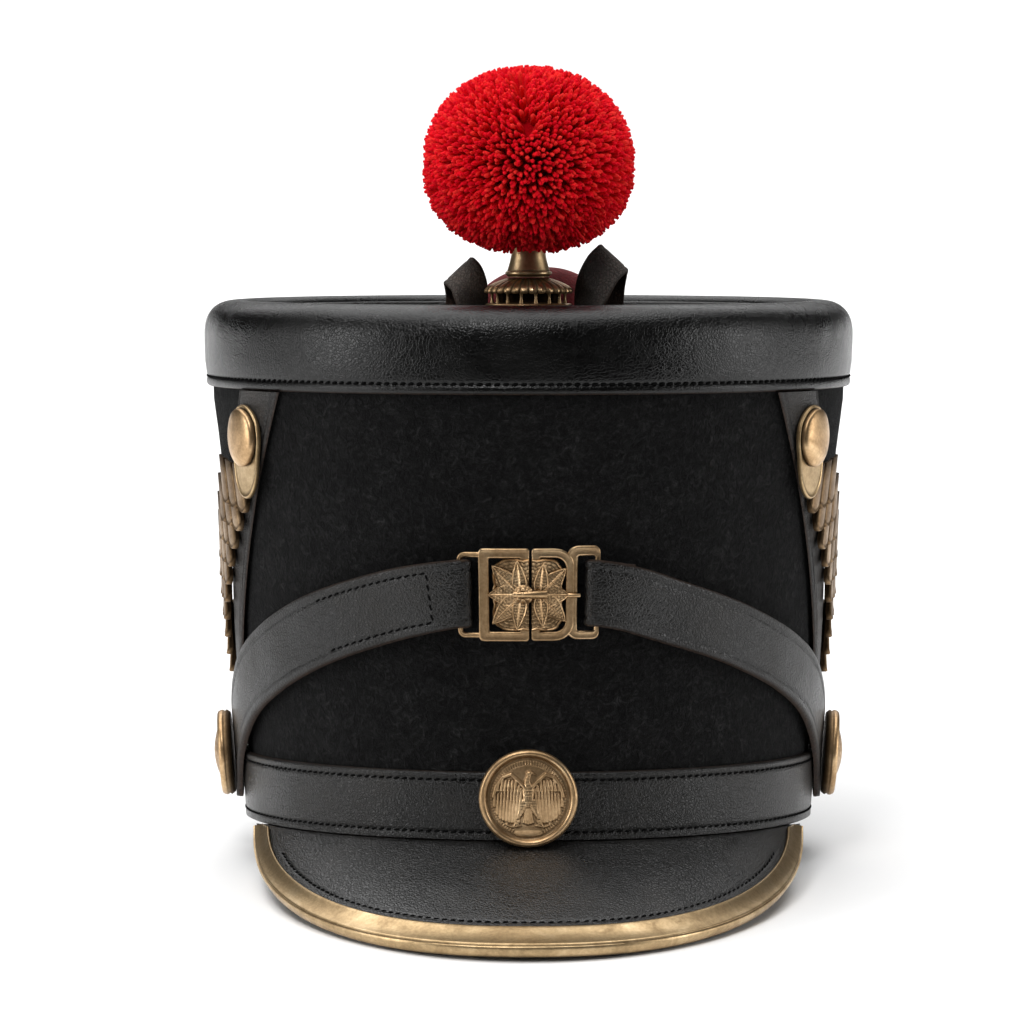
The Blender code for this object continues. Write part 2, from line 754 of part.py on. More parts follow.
def on_side(origin, down, across, lift, lean=0.0, row=0.0):
    """A point of the wall down and across (to the back) from the origin (azimuth, height).

    Down leans forward by one angle and across rises towards the back by the other.
    """
    azimuth, height = origin
    back = across * cos(row) - down * sin(lean)
    new_height = height - down * cos(lean) + across * sin(row)
    return wall_point(azimuth + back / arc_per_radian(azimuth, height), new_height, lift)


CHAIN_LIFT = CHEVRON_LIFT + CHEVRON_THICKNESS + GAP  # inner face of the scales' upper ends


def mirrored(point, side):
    return Vector((point.x * side, point.y, point.z))


def build_scale(name, side, number):
    """One brass plate with three lobes at its lower edge; its lower end rides over the next plate."""
    share = number / (SCALE_COUNT - 1)
    azimuth = SCALE_FIRST[0] + (SCALE_LAST[0] - SCALE_FIRST[0]) * share
    height = SCALE_FIRST[1] + (SCALE_LAST[1] - SCALE_FIRST[1]) * share
    width = SCALE_WIDTHS[0] + (SCALE_WIDTHS[1] - SCALE_WIDTHS[0]) * share
    steps = 3

    def place(u, v):
        across = (u - 0.5) * width
        in_lobe = (u * SCALE_LOBES) % 1.0 if u < 0.999 else 0.0
        edge = SCALE_LENGTH / 2 - (SCALE_LOBE if min(in_lobe, 1 - in_lobe) < 0.01 else 0.0)
        down = -SCALE_LENGTH / 2 + (1 - v) * (edge + SCALE_LENGTH / 2)
        lift = CHAIN_LIFT + SCALE_TILT * (down + SCALE_LENGTH / 2)
        point = on_side((azimuth, height), down, across, lift, SCALE_LEAN, SCALE_ROW)
        return mirrored(point, side)

    return smooth(sheet(name, SCALE_LOBES * steps, 1, place, side * SCALE_THICKNESS, BRASS))


def plate_lift(down):
    return max(CHAIN_LIFT, CHAIN_LIFT + 0.45 * MM + SCALE_TILT * down)


def build_boss_plate(name, side):
    """A brass drop under the boss, whose point hangs over the first chin scale."""
    steps = 22
    rings = (0.5, 1.0)
    bm = bmesh.new()
    origin = (BOSS_AZIMUTH, BOSS_HEIGHT)

    def at(angle, share):
        reach = PLATE_RADIUS
        if cos(angle) > 0:
            reach += (PLATE_TAIL - PLATE_RADIUS) * cos(angle) ** 4
        down = reach * share * cos(angle)
        across = reach * share * sin(angle) * BOSS_NARROW
        return mirrored(on_side(origin, down, across, plate_lift(down)), side)

    middle = bm.verts.new(at(0.0, 0.0))
    loops = [[bm.verts.new(at(2 * pi * k / steps, ring)) for k in range(steps)] for ring in rings]
    for k in range(steps):
        bm.faces.new((middle, loops[0][k], loops[0][(k + 1) % steps]))
        for inner, outer in zip(loops, loops[1:]):
            bm.faces.new((inner[k], outer[k], outer[(k + 1) % steps], inner[(k + 1) % steps]))
    bmesh.ops.recalc_face_normals(bm, faces=bm.faces)
    if bm.faces[0].normal.x * side < 0:
        bmesh.ops.reverse_faces(bm, faces=bm.faces)
    mesh = bpy.data.meshes.new(name)
    bm.to_mesh(mesh)
    bm.free()
    obj = add_object(name, mesh, BRASS)
    solidify = obj.modifiers.new("thickness", "SOLIDIFY")
    solidify.thickness = PLATE_THICKNESS
    solidify.offset = 1.0
    return smooth(obj)


def build_boss(name, side):
    """A plain domed stud."""
    steps = 20
    profile = ((1.0, 0.0), (1.0, 0.22), (0.86, 0.62), (0.5, 0.92))
    bm = bmesh.new()
    origin = (BOSS_AZIMUTH, BOSS_HEIGHT)

    def at(angle, reach, rise):
        down = BOSS_RADIUS * reach * cos(angle)
        across = BOSS_RADIUS * reach * sin(angle) * BOSS_NARROW
        lift = plate_lift(down) + PLATE_THICKNESS + GAP + rise * BOSS_RISE
        return mirrored(on_side(origin, down, across, lift), side)

    loops = [[bm.verts.new(at(2 * pi * k / steps, *row)) for k in range(steps)] for row in profile]
    top = bm.verts.new(at(0.0, 0.0, 1.0))
    foot = bm.verts.new(at(0.0, 0.0, 0.0))
    for k in range(steps):
        after = (k + 1) % steps
        bm.faces.new((foot, loops[0][k], loops[0][after]))
        bm.faces.new((top, loops[-1][k], loops[-1][after]))
        for lower, upper in zip(loops, loops[1:]):
            bm.faces.new((lower[k], upper[k], upper[after], lower[after]))
    return smooth(add_object(name, mesh_from(name, bm), BRASS))


# ---------------------------------------------------------------- buttons

EAGLE_HALF = (
    # right half of a spread eagle's outline from its neck down, as shares of the button's field
    (0.10, 0.40),
    (0.22, 0.48),
    (0.38, 0.72),
    (0.64, 0.80),
    (0.62, 0.56),
    (0.80, 0.50),
    (0.70, 0.30),
    (0.82, 0.16),
    (0.62, 0.06),
    (0.64, -0.12),
    (0.40, -0.14),
    (0.20, -0.26),
    (0.22, -0.46),
    (0.50, -0.50),
    (0.50, -0.60),
    (0.14, -0.62),
    (0.20, -0.86),
)
EAGLE_HEAD = ((-0.10, 0.54), (-0.22, 0.60), (-0.12, 0.72), (0.02, 0.76), (0.12, 0.64))


def button_frame(azimuth, height, lift, lean):
    """Where a button sits: x to the right, y up and z away from the hat, as seen from in front of it."""
    outward = Vector((OVAL * sin(azimuth), -cos(azimuth), 0)).normalized()
    normal = outward * cos(lean) - Vector((0, 0, 1)) * sin(lean)
    up = outward * sin(lean) + Vector((0, 0, 1)) * cos(lean)
    right = up.cross(normal)
    frame = Matrix((right, up, normal)).transposed().to_4x4()
    frame.translation = wall_point(azimuth, height, lift)
    return frame


def build_button(name, radius, thickness, dome, back, frame):
    """A brass button with a rolled ring, a groove and an eagle standing on its domed field."""
    field = 0.78 * radius
    top = thickness - 1.3 * MM
    profile = [
        (0.0, top + dome),
        (0.5 * field, top + 0.77 * dome),
        (field, top),
        (0.82 * radius, top - 0.2 * MM),
        (0.90 * radius, thickness),
        (0.97 * radius, thickness - 0.5 * MM),
        (radius, thickness - 1.6 * MM),
    ]
    profile += [(share * radius, height) for share, height in back]
    profile += [(0.0, 0.0)]
    button = turned(name, profile, BRASS, steps=BUTTON_STEPS, closed=False)
    apply_modifiers(button)
    half = list(EAGLE_HALF)
    other = [(-x, y) for x, y in reversed(half)]
    outline = [(x * field / MM, y * field / MM) for x, y in half + [(0.0, -0.80)] + other + list(EAGLE_HEAD)]
    eagle = slab("eagle", [outline], top - 0.4 * MM, top + dome + 0.6 * MM)
    joined(button, [eagle])
    button.data.transform(frame)
    return smooth(button)


# ---------------------------------------------------------------- on top


def build_pompom():
    """A wool ball of short locks on a core, with a stem that goes into the socket."""
    bm = bmesh.new()
    bmesh.ops.create_icosphere(bm, subdivisions=3, radius=1.0)
    poked = bmesh.ops.poke(bm, faces=bm.faces[:])
    tips = set(poked["verts"])
    for vertex in bm.verts:
        direction = vertex.co.normalized()
        rise = TUFT_RISE if vertex in tips else 0.0
        across = POMPOM_HALF_WIDTH - TUFT_RISE + rise
        up = POMPOM_HALF_HEIGHT - TUFT_RISE + rise
        vertex.co = Vector((direction.x * across, direction.y * across, direction.z * up))
        if direction.z < 0 and vertex.co.xy.length < SOCKET_FOOT_RADIUS + TUFT_RISE:
            vertex.co.z = max(vertex.co.z, SOCKET_TOP + 2 * GAP - POMPOM_HEIGHT)
    pompom = add_object("pompom", mesh_from("pompom", bm), RED_WOOL)
    outline = ring_outline(0.0, 0.0, STEM_RADIUS / MM, 12)
    low = SOCKET_BOTTOM + 1.6 * MM - POMPOM_HEIGHT
    stem = slab("stem", [outline], low, -0.6 * POMPOM_HALF_HEIGHT, RED_WOOL)
    joined(pompom, [stem])
    pompom.data.transform(Matrix.Translation((0.0, TOP_Y, POMPOM_HEIGHT)))
    return smooth(pompom, radians(60))


def build_socket():
    """A tapered brass tube, open at the top, with a bead round its foot."""
    wall = SOCKET_WALL
    low = SOCKET_BOTTOM
    profile = [
        (SOCKET_TOP_RADIUS - wall, SOCKET_TOP),
        (SOCKET_TOP_RADIUS, SOCKET_TOP),
        (SOCKET_TOP_RADIUS + 0.5 * MM, low + 7.0 * MM),
        (SOCKET_TOP_RADIUS + 1.0 * MM, low + 3.4 * MM),
        (SOCKET_FOOT_RADIUS, low + 2.4 * MM),
        (SOCKET_FOOT_RADIUS, low + 1.2 * MM),
        (SOCKET_FOOT_RADIUS - 0.8 * MM, low),
        (0.0, low),
        (0.0, low + wall),
        (SOCKET_TOP_RADIUS - wall, low + wall),
    ]
    socket = turned("pompom_socket", profile, BRASS, steps=20)
    socket.location.y = TOP_Y
    return socket


def build_socket_foot():
    """The oval base of the socket: a plate, a gallery of small posts and a fluted collar."""
    bottom = DISC_TOP + GAP
    top = SOCKET_BOTTOM - GAP
    half = FOOT_HALF_WIDTH
    profile = [
        (0.0, top),
        (0.50 * half, top),
        (0.78 * half, top - 1.2 * MM),
        (0.97 * half, top - 3.6 * MM),
        (0.95 * half, top - 4.6 * MM),
        (0.70 * half, top - 5.2 * MM),
        (0.70 * half, top - 7.4 * MM),
        (0.98 * half, top - 7.8 * MM),
        (half, top - 9.0 * MM),
        (half, bottom),
        (0.0, bottom),
    ]
    foot = turned("socket_foot", profile, BRASS, steps=22, closed=False)
    apply_modifiers(foot)
    posts = []
    for k in range(FOOT_POSTS):
        angle = 2 * pi * (k + 0.5) / FOOT_POSTS
        x = 0.78 * half / MM * cos(angle)
        y = 0.78 * half / MM * sin(angle)
        post = slab("post", [ring_outline(x, y, 1.1, 4)], top - 8.2 * MM, top - 4.4 * MM)
        posts.append(post)
    joined(foot, posts)
    foot.data.transform(Matrix.Diagonal((1.0, FOOT_DEPTH_SHARE, 1.0, 1.0)))
    foot.location.y = TOP_Y
    return smooth(foot)


def build_red_pad():
    """A low red cloth dome behind the socket."""
    profile = []
    for step in range(6):
        angle = pi / 2 * step / 6
        profile.append((RED_PAD_HALF_WIDTH * cos(angle), RED_PAD_RISE * sin(angle)))
    profile = [(0.0, RED_PAD_RISE)] + profile[::-1] + [(0.0, 0.0)]
    pad = turned("red_pad", profile, RED_CLOTH, steps=24, closed=False)
    pad.scale.y = RED_PAD_DEPTH_SHARE
    pad.location = (*RED_PAD_CENTRE, DISC_TOP + GAP)
    return pad


def build_bow(name, side):
    """A strip of leather that stands on the disc, folds over and comes down behind."""
    columns = 14
    route = LEFT_BOW_ROUTE if side < 0 else BOW_ROUTE

    def place(u, v):
        x, y, z, roll, yaw = spline(route, u)
        roll, yaw = radians(roll), radians(yaw)
        half = (v - 0.5) * BOW_WIDTH
        width = Vector((cos(roll) * cos(yaw), sin(yaw), -sin(roll)))
        point = Vector((x * MM, y * MM + TOP_Y, z * MM)) + half * width
        return mirrored(point, side)

    return smooth(sheet(name, columns, 2, place, side * BOW_THICKNESS, LEATHER), radians(50))


# ---------------------------------------------------------------- assembly


def lowest(names, lean):
    """Height of the lowest point of these pieces with the hat leant back by this angle."""
    heights = []
    turn = Matrix.Rotation(-lean, 4, "X")
    graph = bpy.context.evaluated_depsgraph_get()
    for name in names:
        obj = bpy.data.objects[name].evaluated_get(graph)
        matrix = turn @ obj.matrix_world
        heights += [(matrix @ vertex.co).z for vertex in obj.data.vertices]
    return min(heights)


def lean_back():
    """Leans the hat on the front of the peak's brass edge and the back of the base, as it stands alone."""
    bpy.context.view_layer.update()
    low, high = 0.0, radians(20)
    for _ in range(40):
        lean = (low + high) / 2
        if lowest(["peak_trim"], lean) < lowest(["felt_body", "base_band"], lean):
            low = lean
        else:
            high = lean
    floor = lowest(["felt_body", "base_band", "peak_trim"], lean)
    stand = bpy.data.objects.new("stand", None)
    HAT.objects.link(stand)
    for obj in list(HAT.objects):
        if obj.type == "MESH":
            obj.parent = stand
    stand.rotation_euler.x = -lean
    stand.location.z = -floor
    return stand


def centre(stand):
    """Puts the middle of the hat's box over the origin."""
    bpy.context.view_layer.update()
    graph = bpy.context.evaluated_depsgraph_get()
    xs, ys = [], []
    for obj in HAT.objects:
        if obj.type != "MESH":
            continue
        found = obj.evaluated_get(graph)
        for vertex in found.data.vertices:
            point = found.matrix_world @ vertex.co
            xs.append(point.x)
            ys.append(point.y)
    stand.location.x -= (min(xs) + max(xs)) / 2
    stand.location.y -= (min(ys) + max(ys)) / 2


build_felt_body()
build_crown_rim()
build_crown_disc()
build_base_band()
build_peak()
build_peak_trim()
for word, side in (("left", -1), ("right", 1)):
    build_strap(f"strap_{word}", side)
    build_chevron(f"chevron_{word}", side)
    build_boss_plate(f"boss_plate_{word}", side)
    build_boss(f"boss_{word}", side)
    for number in range(SCALE_COUNT):
        build_scale(f"scale_{word}_{number + 1:02d}", side, number)
    place = button_frame(side * pi / 2, SIDE_BUTTON_HEIGHT, SIDE_BUTTON_LIFT, SIDE_BUTTON_LEAN)
    build_button(f"side_button_{word}", *SIDE_BUTTON_SHAPE, place)
    build_bow(f"bow_{word}", side)
build_buckle_left()
build_buckle_right()
place = button_frame(0.0, FRONT_BUTTON_HEIGHT, FRONT_BUTTON_LIFT, wall_slope(FRONT_BUTTON_HEIGHT))
build_button("front_button", *FRONT_BUTTON_SHAPE, place)
build_pompom()
build_socket()
build_socket_foot()
build_red_pad()
centre(lean_back())
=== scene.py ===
"""Looks for the felt shako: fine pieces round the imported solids, each with a procedural material.

Shapes are worked out upright in the hat's own frame, as the solids are: the felt's lower edge lies at
height 0, azimuth 0 is the front (-Y) and azimuth grows towards +X. STAND then leans them back as the hat
rests.
"""

from math import atan, cos, pi, radians, sin, sqrt

import bpy
import numpy as np
from mathutils import Matrix, Vector, noise


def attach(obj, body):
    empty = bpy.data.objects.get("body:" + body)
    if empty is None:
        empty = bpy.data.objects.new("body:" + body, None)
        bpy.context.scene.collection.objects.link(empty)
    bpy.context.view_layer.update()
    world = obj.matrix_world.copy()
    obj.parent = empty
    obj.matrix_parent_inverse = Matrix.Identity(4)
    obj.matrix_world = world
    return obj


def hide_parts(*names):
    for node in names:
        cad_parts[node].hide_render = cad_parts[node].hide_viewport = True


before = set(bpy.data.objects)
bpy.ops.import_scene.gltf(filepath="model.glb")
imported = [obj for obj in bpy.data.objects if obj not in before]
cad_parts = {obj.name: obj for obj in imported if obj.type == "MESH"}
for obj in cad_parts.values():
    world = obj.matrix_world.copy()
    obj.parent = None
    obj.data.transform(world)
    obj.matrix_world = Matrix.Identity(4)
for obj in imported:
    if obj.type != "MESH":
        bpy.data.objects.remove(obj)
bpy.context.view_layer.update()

MM = 0.001
LEAN = radians(7.4749)
STAND = Matrix.Translation((0.0, 0.01199, 0.013881)) @ Matrix.Rotation(-LEAN, 4, "X")
SIDES = (("left", -1), ("right", 1))

# Sizes repeated from the solids, a few of them changed by less than a millimetre
BASE_HALF_WIDTH = 94.4 * MM
OVAL = 1.05
FLARE_SLOPE = 0.043
FLARE_CURVE = 0.33
FELT_THICKNESS = 3.0 * MM
GAP = 0.35 * MM
CORNER_RADIUS = 98.0 * MM
CORNER_HEIGHT = 162.3 * MM
CORNER_POWER = 2.6
RIM_ROLL = 12.3 * MM
RIM_THICKNESS = 2.2 * MM
DISC_TOP = 170.3 * MM
BAND_BOTTOM = -0.8 * MM
BAND_TOP = 21.9 * MM
BAND_THICKNESS = 1.6 * MM
PEAK_TOP = BAND_BOTTOM - 0.12 * MM
PEAK_END_AZIMUTH = radians(66)
PEAK_HALF_WIDTH = 91.4 * MM
PEAK_END_FORWARD = 36.0 * MM
PEAK_FORWARD = 156.0 * MM
PEAK_DROP = 29.2 * MM
PEAK_POWER = 3.0
PEAK_THICKNESS = 2.2 * MM
PEAK_START = 2.2 * MM
PEAK_CROWN = 1.6 * MM
TRIM_WIDTH_FRONT = 10.6 * MM
TRIM_WIDTH_END = 7.0 * MM
TRIM_THICKNESS = 0.6 * MM
TRIM_GAP = 0.45 * MM
TRIM_MOST = 0.86
TRIM_REACH = 0.996
STRAP_ROUTES = {
    # azimuth in degrees, height and width in mm of the strap, from the buckle to the end
    -1: (
        (12.4, 80.8, 22.4), (18.5, 79.0, 23.0), (26.5, 75.9, 23.4), (37.0, 70.6, 23.8), (46.0, 65.2, 24.0),
        (57.0, 57.0, 23.8), (68.5, 46.8, 23.2), (78.0, 35.0, 22.2), (85.0, 24.5, 21.0), (90.0, 14.5, 20.0),
        (92.0, 8.0, 19.4),
    ),
    1: (
        (12.4, 81.0, 21.8), (18.5, 78.8, 21.6), (26.5, 74.5, 21.2), (37.0, 68.9, 20.8), (46.0, 63.4, 20.6),
        (57.0, 55.9, 20.4), (68.5, 46.4, 20.2), (78.0, 35.0, 20.0), (85.0, 24.5, 19.8), (90.0, 14.5, 19.6),
        (92.0, 8.0, 19.4),
    ),
}
STRAP_WIDTH = 21.4 * MM
STRAP_THICKNESS = 2.4 * MM
STRAP_LIFT = 2.4 * MM
BUCKLE_HEIGHT = 80.7 * MM
BUCKLE_STANDOFF = 3.3 * MM
BUCKLE_BAR = 2.2 * MM
END_BAR_X = 21.5 * MM
LOOP_BAR = 1.6 * MM
LOOP_INSET = 0.3 * MM
FOLD_BACK = 13.0 * MM
STRAP_FALL = 0.15
STRAP_RISE = (radians(13), radians(17))  # azimuth where the strap begins to sink to the wall, and over how much
CHEVRON_EDGES = (
    # height in mm, azimuth in degrees of the outer edge and of the inner edge of the front leg
    (145.3, 48.9, 61.8), (124.0, 55.3, 67.6), (105.0, 61.2, 72.4), (86.0, 67.0, 77.2), (67.0, 72.6, 82.0),
    (48.0, 77.6, 86.4), (33.0, 81.4, 90.0), (22.4, 84.0, 90.0),
)
CHEVRON_LIFT = 0.5 * MM
CHEVRON_THICKNESS = 1.5 * MM
CHAIN_LIFT = CHEVRON_LIFT + CHEVRON_THICKNESS + GAP
BOSS_PLACE = (radians(59.9), 129.8 * MM)
BOSS_RADIUS = 9.7 * MM
BOSS_NARROW = 0.86
BOSS_RISE = 3.4 * MM
BOSS_PROFILE = (
    # share of the radius, share of the rise
    (0.96, 0.0), (1.0, 0.05), (1.0, 0.26), (0.985, 0.40), (0.95, 0.52), (0.90, 0.61), (0.82, 0.70),
    (0.72, 0.79), (0.6, 0.86), (0.46, 0.925), (0.3, 0.97), (0.14, 0.99),
)
PLATE_RADIUS = 10.9 * MM
PLATE_TAIL = 20.5 * MM
PLATE_THICKNESS = 1.0 * MM
SCALE_COUNT = 10
SCALE_FIRST = (radians(67.6), 113.5 * MM)
SCALE_LAST = (radians(97.0), 56.0 * MM)
SCALE_WIDTHS = (21.5 * MM, 14.0 * MM)
SCALE_LENGTH = 16.5 * MM
SCALE_LEAN = radians(17)
SCALE_ROW = radians(10)
SCALE_THICKNESS = 0.8 * MM
SCALE_TILT = 0.09
SCALE_LOBES = 3
SCALE_COLUMNS, SCALE_ROWS = 10, 16  # points across a lobe and down a plate
TOP_Y = -62.0 * MM
POMPOM_HEIGHT = 221.9 * MM
POMPOM_HALF_WIDTH = 35.2 * MM
POMPOM_HALF_HEIGHT = 31.2 * MM
SOCKET_TOP = 193.4 * MM
SOCKET_BOTTOM = 183.2 * MM
FOOT_HALF_WIDTH = 14.3 * MM
FOOT_DEPTH_SHARE = 0.68
RED_PAD_CENTRE = (4.0 * MM, -33.0 * MM)
RED_PAD_HALF_WIDTH = 23.0 * MM
RED_PAD_DEPTH_SHARE = 0.66
RED_PAD_RISE = 15.6 * MM
BOW_WIDTH = 13.0 * MM
BOW_THICKNESS = 1.5 * MM
BOW_ROUTE = (
    # x and y from the socket and z in mm of the strip's middle, then roll and yaw in degrees of its width
    (19.2, 1.0, 171.0, 0.0, -50.0), (19.6, 0.0, 175.2, 12.0, -42.0), (21.4, -1.6, 180.8, 30.0, -24.0),
    (24.4, -2.0, 185.9, 41.0, -8.0), (27.4, -0.6, 188.9, 43.0, 0.0), (28.7, 2.4, 189.9, 43.0, 0.0),
    (28.3, 5.4, 188.3, 43.0, 0.0), (27.2, 7.4, 183.7, 40.0, 0.0), (25.8, 8.4, 178.3, 24.0, 0.0),
    (24.4, 8.6, 171.0, 0.0, 0.0),
)
LEFT_BOW_ROUTE = (
    # the left loop is lower and stands nearer the socket
    (17.6, 3.0, 171.0, 0.0, -50.0), (17.8, 2.2, 174.2, 12.0, -42.0), (18.7, 1.0, 178.6, 28.0, -26.0),
    (20.4, 0.8, 182.5, 40.0, -10.0), (22.6, 2.2, 184.9, 43.0, 0.0), (23.8, 5.0, 185.6, 43.0, 0.0),
    (23.5, 8.0, 184.4, 43.0, 0.0), (22.7, 10.0, 180.8, 40.0, 0.0), (21.7, 11.0, 176.6, 24.0, 0.0),
    (20.7, 11.2, 171.0, 0.0, 0.0),
)

# Sizes of what only this file makes
WALL_STEPS, RIM_STEPS, BAND_STEPS = 280, 420, 400  # points round the hat
STITCH_PITCH = 2.9 * MM
STITCH_RADIUS = 0.33 * MM
STITCH_SHARE = 0.74  # length of a stitch as a share of the pitch
STITCH_SLANT = 0.18
SEAM_STATIONS = 1601  # points on the path of a seam that runs round the hat
STITCH_SECTIONS = (
    # place along the stitch, share of its radius, rise in radii
    (-1.0, 0.35, -0.9), (-0.8, 0.85, -0.1), (-0.35, 1.0, 0.35), (0.35, 1.0, 0.35), (0.8, 0.85, -0.1),
    (1.0, 0.35, -0.9),
)


# ---------------------------------------------------------------- meshes from arrays


def grid_faces(rows, columns, wrap_rows=False, wrap_columns=False):
    """Quads of a grid of points that is stored row by row."""
    row, column = np.indices((rows if wrap_rows else rows - 1, columns if wrap_columns else columns - 1))
    next_row, next_column = (row + 1) % rows, (column + 1) % columns
    corners = ((row, column), (row, next_column), (next_row, next_column), (next_row, column))
    return np.stack([a * columns + b for a, b in corners], axis=-1).reshape(-1, 4)


def fan_faces(loop, pole, back=False):
    """Triangles between a closed loop of point numbers and a pole."""
    after = np.roll(loop, -1)
    first, second = (after, loop) if back else (loop, after)
    return np.stack([first, second, np.full_like(loop, pole)], axis=-1)


def swept(sections, ring=False, **marks):
    """A closed body whose cross-sections are closed loops of points; ring joins the last loop to the first.

    Marks are numbers for each point, for each place round a section, or one for all.
    """
    rows, columns, _ = sections.shape
    points = sections.reshape(-1, 3)
    marks = {name: np.broadcast_to(value, (rows, columns)).reshape(-1) for name, value in marks.items()}
    faces = [grid_faces(rows, columns, ring, True)]
    if not ring:
        points = np.vstack([points, sections[0].mean(axis=0), sections[-1].mean(axis=0)])
        for name, value in marks.items():
            marks[name] = np.append(value, [value[:columns].mean(), value[-columns:].mean()])
        k = np.arange(columns)
        faces.append(fan_faces(k, rows * columns, back=True))
        faces.append(fan_faces((rows - 1) * columns + k, rows * columns + 1))
    return points, faces, marks


def turned_body(profile, steps, stretch=1.0, **marks):
    """A closed body of revolution about Z whose profile of (radius, height) starts and ends on the axis."""
    profile = np.asarray(profile, float)
    angle = circle(steps)
    radius, height = profile[1:-1, 0], profile[1:-1, 1]
    x, y = radius * np.sin(angle), -radius * np.cos(angle) * stretch
    rings = np.stack([x, y, np.broadcast_to(height, x.shape)], axis=-1)
    return capped_rings(rings, (0, 0, profile[0, 1]), (0, 0, profile[-1, 1]), **marks)


def capped_rings(rings, first, last, **marks):
    """A closed body from rings[angle, row] of points and a pole at each end."""
    steps, rows, _ = rings.shape
    points = np.vstack([rings.reshape(-1, 3), first, last])
    start, pole = np.arange(steps) * rows, steps * rows
    caps = [fan_faces(start, pole), fan_faces(start + rows - 1, pole + 1, back=True)]
    faces = [grid_faces(steps, rows, True, False), *caps]
    for name, value in marks.items():
        value = np.broadcast_to(value, (steps, rows))
        marks[name] = np.append(value.reshape(-1), [value[:, 0].mean(), value[:, -1].mean()])
    return points, faces, marks


def signed_volume(points, faces):
    total = 0.0
    for quads in faces:
        first = points[quads[:, 0]]
        for k in range(1, quads.shape[1] - 1):
            cross = np.cross(points[quads[:, k]], points[quads[:, k + 1]])
            total += float(np.einsum("ij,ij->i", first, cross).sum())
    return total


def mesh_of(name, bodies):
    """One mesh where the hat stands from bodies of (points, faces, marks), each turned to face outwards."""
    all_points, all_faces = [], []
    marked = {mark: [] for _, _, marks in bodies for mark in marks}
    count = 0
    for points, faces, marks in bodies:
        flip = signed_volume(points, faces) < 0
        all_points.append(points)
        all_faces += [(quads[:, ::-1] if flip else quads) + count for quads in faces]
        for mark in marked:
            marked[mark].append(marks.get(mark, np.zeros(len(points))))
        count += len(points)
    matrix = np.array(STAND)
    points = np.vstack(all_points) @ matrix[:3, :3].T + matrix[:3, 3]
    loops = np.concatenate([quads.reshape(-1) for quads in all_faces])
    sizes = np.concatenate([np.full(len(quads), quads.shape[1]) for quads in all_faces])
    mesh = bpy.data.meshes.new(name)
    mesh.vertices.add(len(points))
    mesh.vertices.foreach_set("co", points.astype(np.float32).reshape(-1))
    mesh.loops.add(len(loops))
    mesh.loops.foreach_set("vertex_index", loops.astype(np.int32))
    mesh.polygons.add(len(sizes))
    mesh.polygons.foreach_set("loop_start", (np.cumsum(sizes) - sizes).astype(np.int32))
    mesh.update(calc_edges=True)
    for mark in sorted(marked):
        attribute = mesh.attributes.new(mark, "FLOAT", "POINT")
        attribute.data.foreach_set("value", np.concatenate(marked[mark]).astype(np.float32))
    mesh.validate()
    return mesh


def between(first, last, share):
    """What lies this share of the way from first to last."""
    return first + (last - first) * share


def side_by_side(*parts):
    """Arrays joined along their columns, each repeated to as many rows as the longest has."""
    parts = [np.atleast_2d(part) for part in parts]
    rows = max(len(part) for part in parts)
    return np.concatenate([np.broadcast_to(part, (rows, part.shape[1])) for part in parts], axis=1)


def backed(face, back, mark, back_mark):
    """A face with its back beside it, and the mark of each place on the two."""
    return np.concatenate([face, back], axis=1), side_by_side(mark, np.full(back.shape[1], back_mark))


def moved(body, offset):
    points, faces, marks = body
    return points + np.array(offset), faces, marks


def placed(name, data):
    """A new object with this data in the scene."""
    obj = bpy.data.objects.new(name, data)
    bpy.context.scene.collection.objects.link(obj)
    return obj


def looks_at(obj, place, target):
    obj.location = place
    obj.rotation_euler = (Vector(target) - Vector(place)).to_track_quat("-Z", "Y").to_euler()


def piece(name, bodies, material, slot, *nodes, sharp=45):
    """A visible piece of the hat, which stands for these CAD nodes."""
    mesh = mesh_of(name, bodies)
    mesh.materials.append(material)
    mesh.shade_smooth()
    mesh.set_sharp_from_angle(angle=radians(sharp))
    obj = placed(name, mesh)
    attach(obj, "root")
    if nodes:
        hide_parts(*nodes)
    return obj


def rough(points, scale, seed=0.0):
    """Smooth noise from -1 to 1 at each point; scale is the size of its bumps in metres."""
    flat = np.asarray(points, float).reshape(-1, 3) / scale + seed
    values = [noise.noise(Vector(point)) for point in flat]
    return np.array(values).reshape(np.asarray(points).shape[:-1])


def smooth_step(values):
    t = np.clip(values, 0.0, 1.0)
    return t * t * (3 - 2 * t)


def bump(distance, width):
    """1 at distance 0, falling smoothly to 0 at this width."""
    return 1 - smooth_step(np.abs(distance) / width)


def arch(x):
    """A half circle over -1 to 1."""
    return np.sqrt(np.clip(1 - x**2, 0, 1))


def rounded_edge(inside, radius):
    """How far an edge of this radius has risen, from 0 to 1, at these distances in from it."""
    return arch(1 - np.clip(inside / radius, 0, 1))


def unit(vectors):
    return vectors / np.linalg.norm(vectors, axis=-1)[..., None]


def on_this_side(points, side):
    """Points worked out at the right of the hat, mirrored where this side is the left one."""
    return points * np.array([side, 1.0, 1.0])


def circle(count):
    """Angles spread evenly over a full turn, as a column."""
    return np.linspace(0, 2 * pi, count, endpoint=False)[:, None]


def spline(points, at):
    """Values on a smooth curve through the rows of points; at runs from 0 to 1."""
    points = np.asarray(points, float)
    at = np.atleast_1d(np.asarray(at, float))
    place = np.clip(at, 0.0, 1.0) * (len(points) - 1)
    first = np.minimum(place.astype(int), len(points) - 2)
    t = (place - first)[:, None]
    a, b, c, d = (points[np.clip(first + k, 0, len(points) - 1)] for k in (-1, 0, 1, 2))
    return 0.5 * (2 * b + (c - a) * t + (2 * a - 5 * b + 4 * c - d) * t**2 + (3 * b - 3 * c + d - a) * t**3)


# ---------------------------------------------------------------- the wall


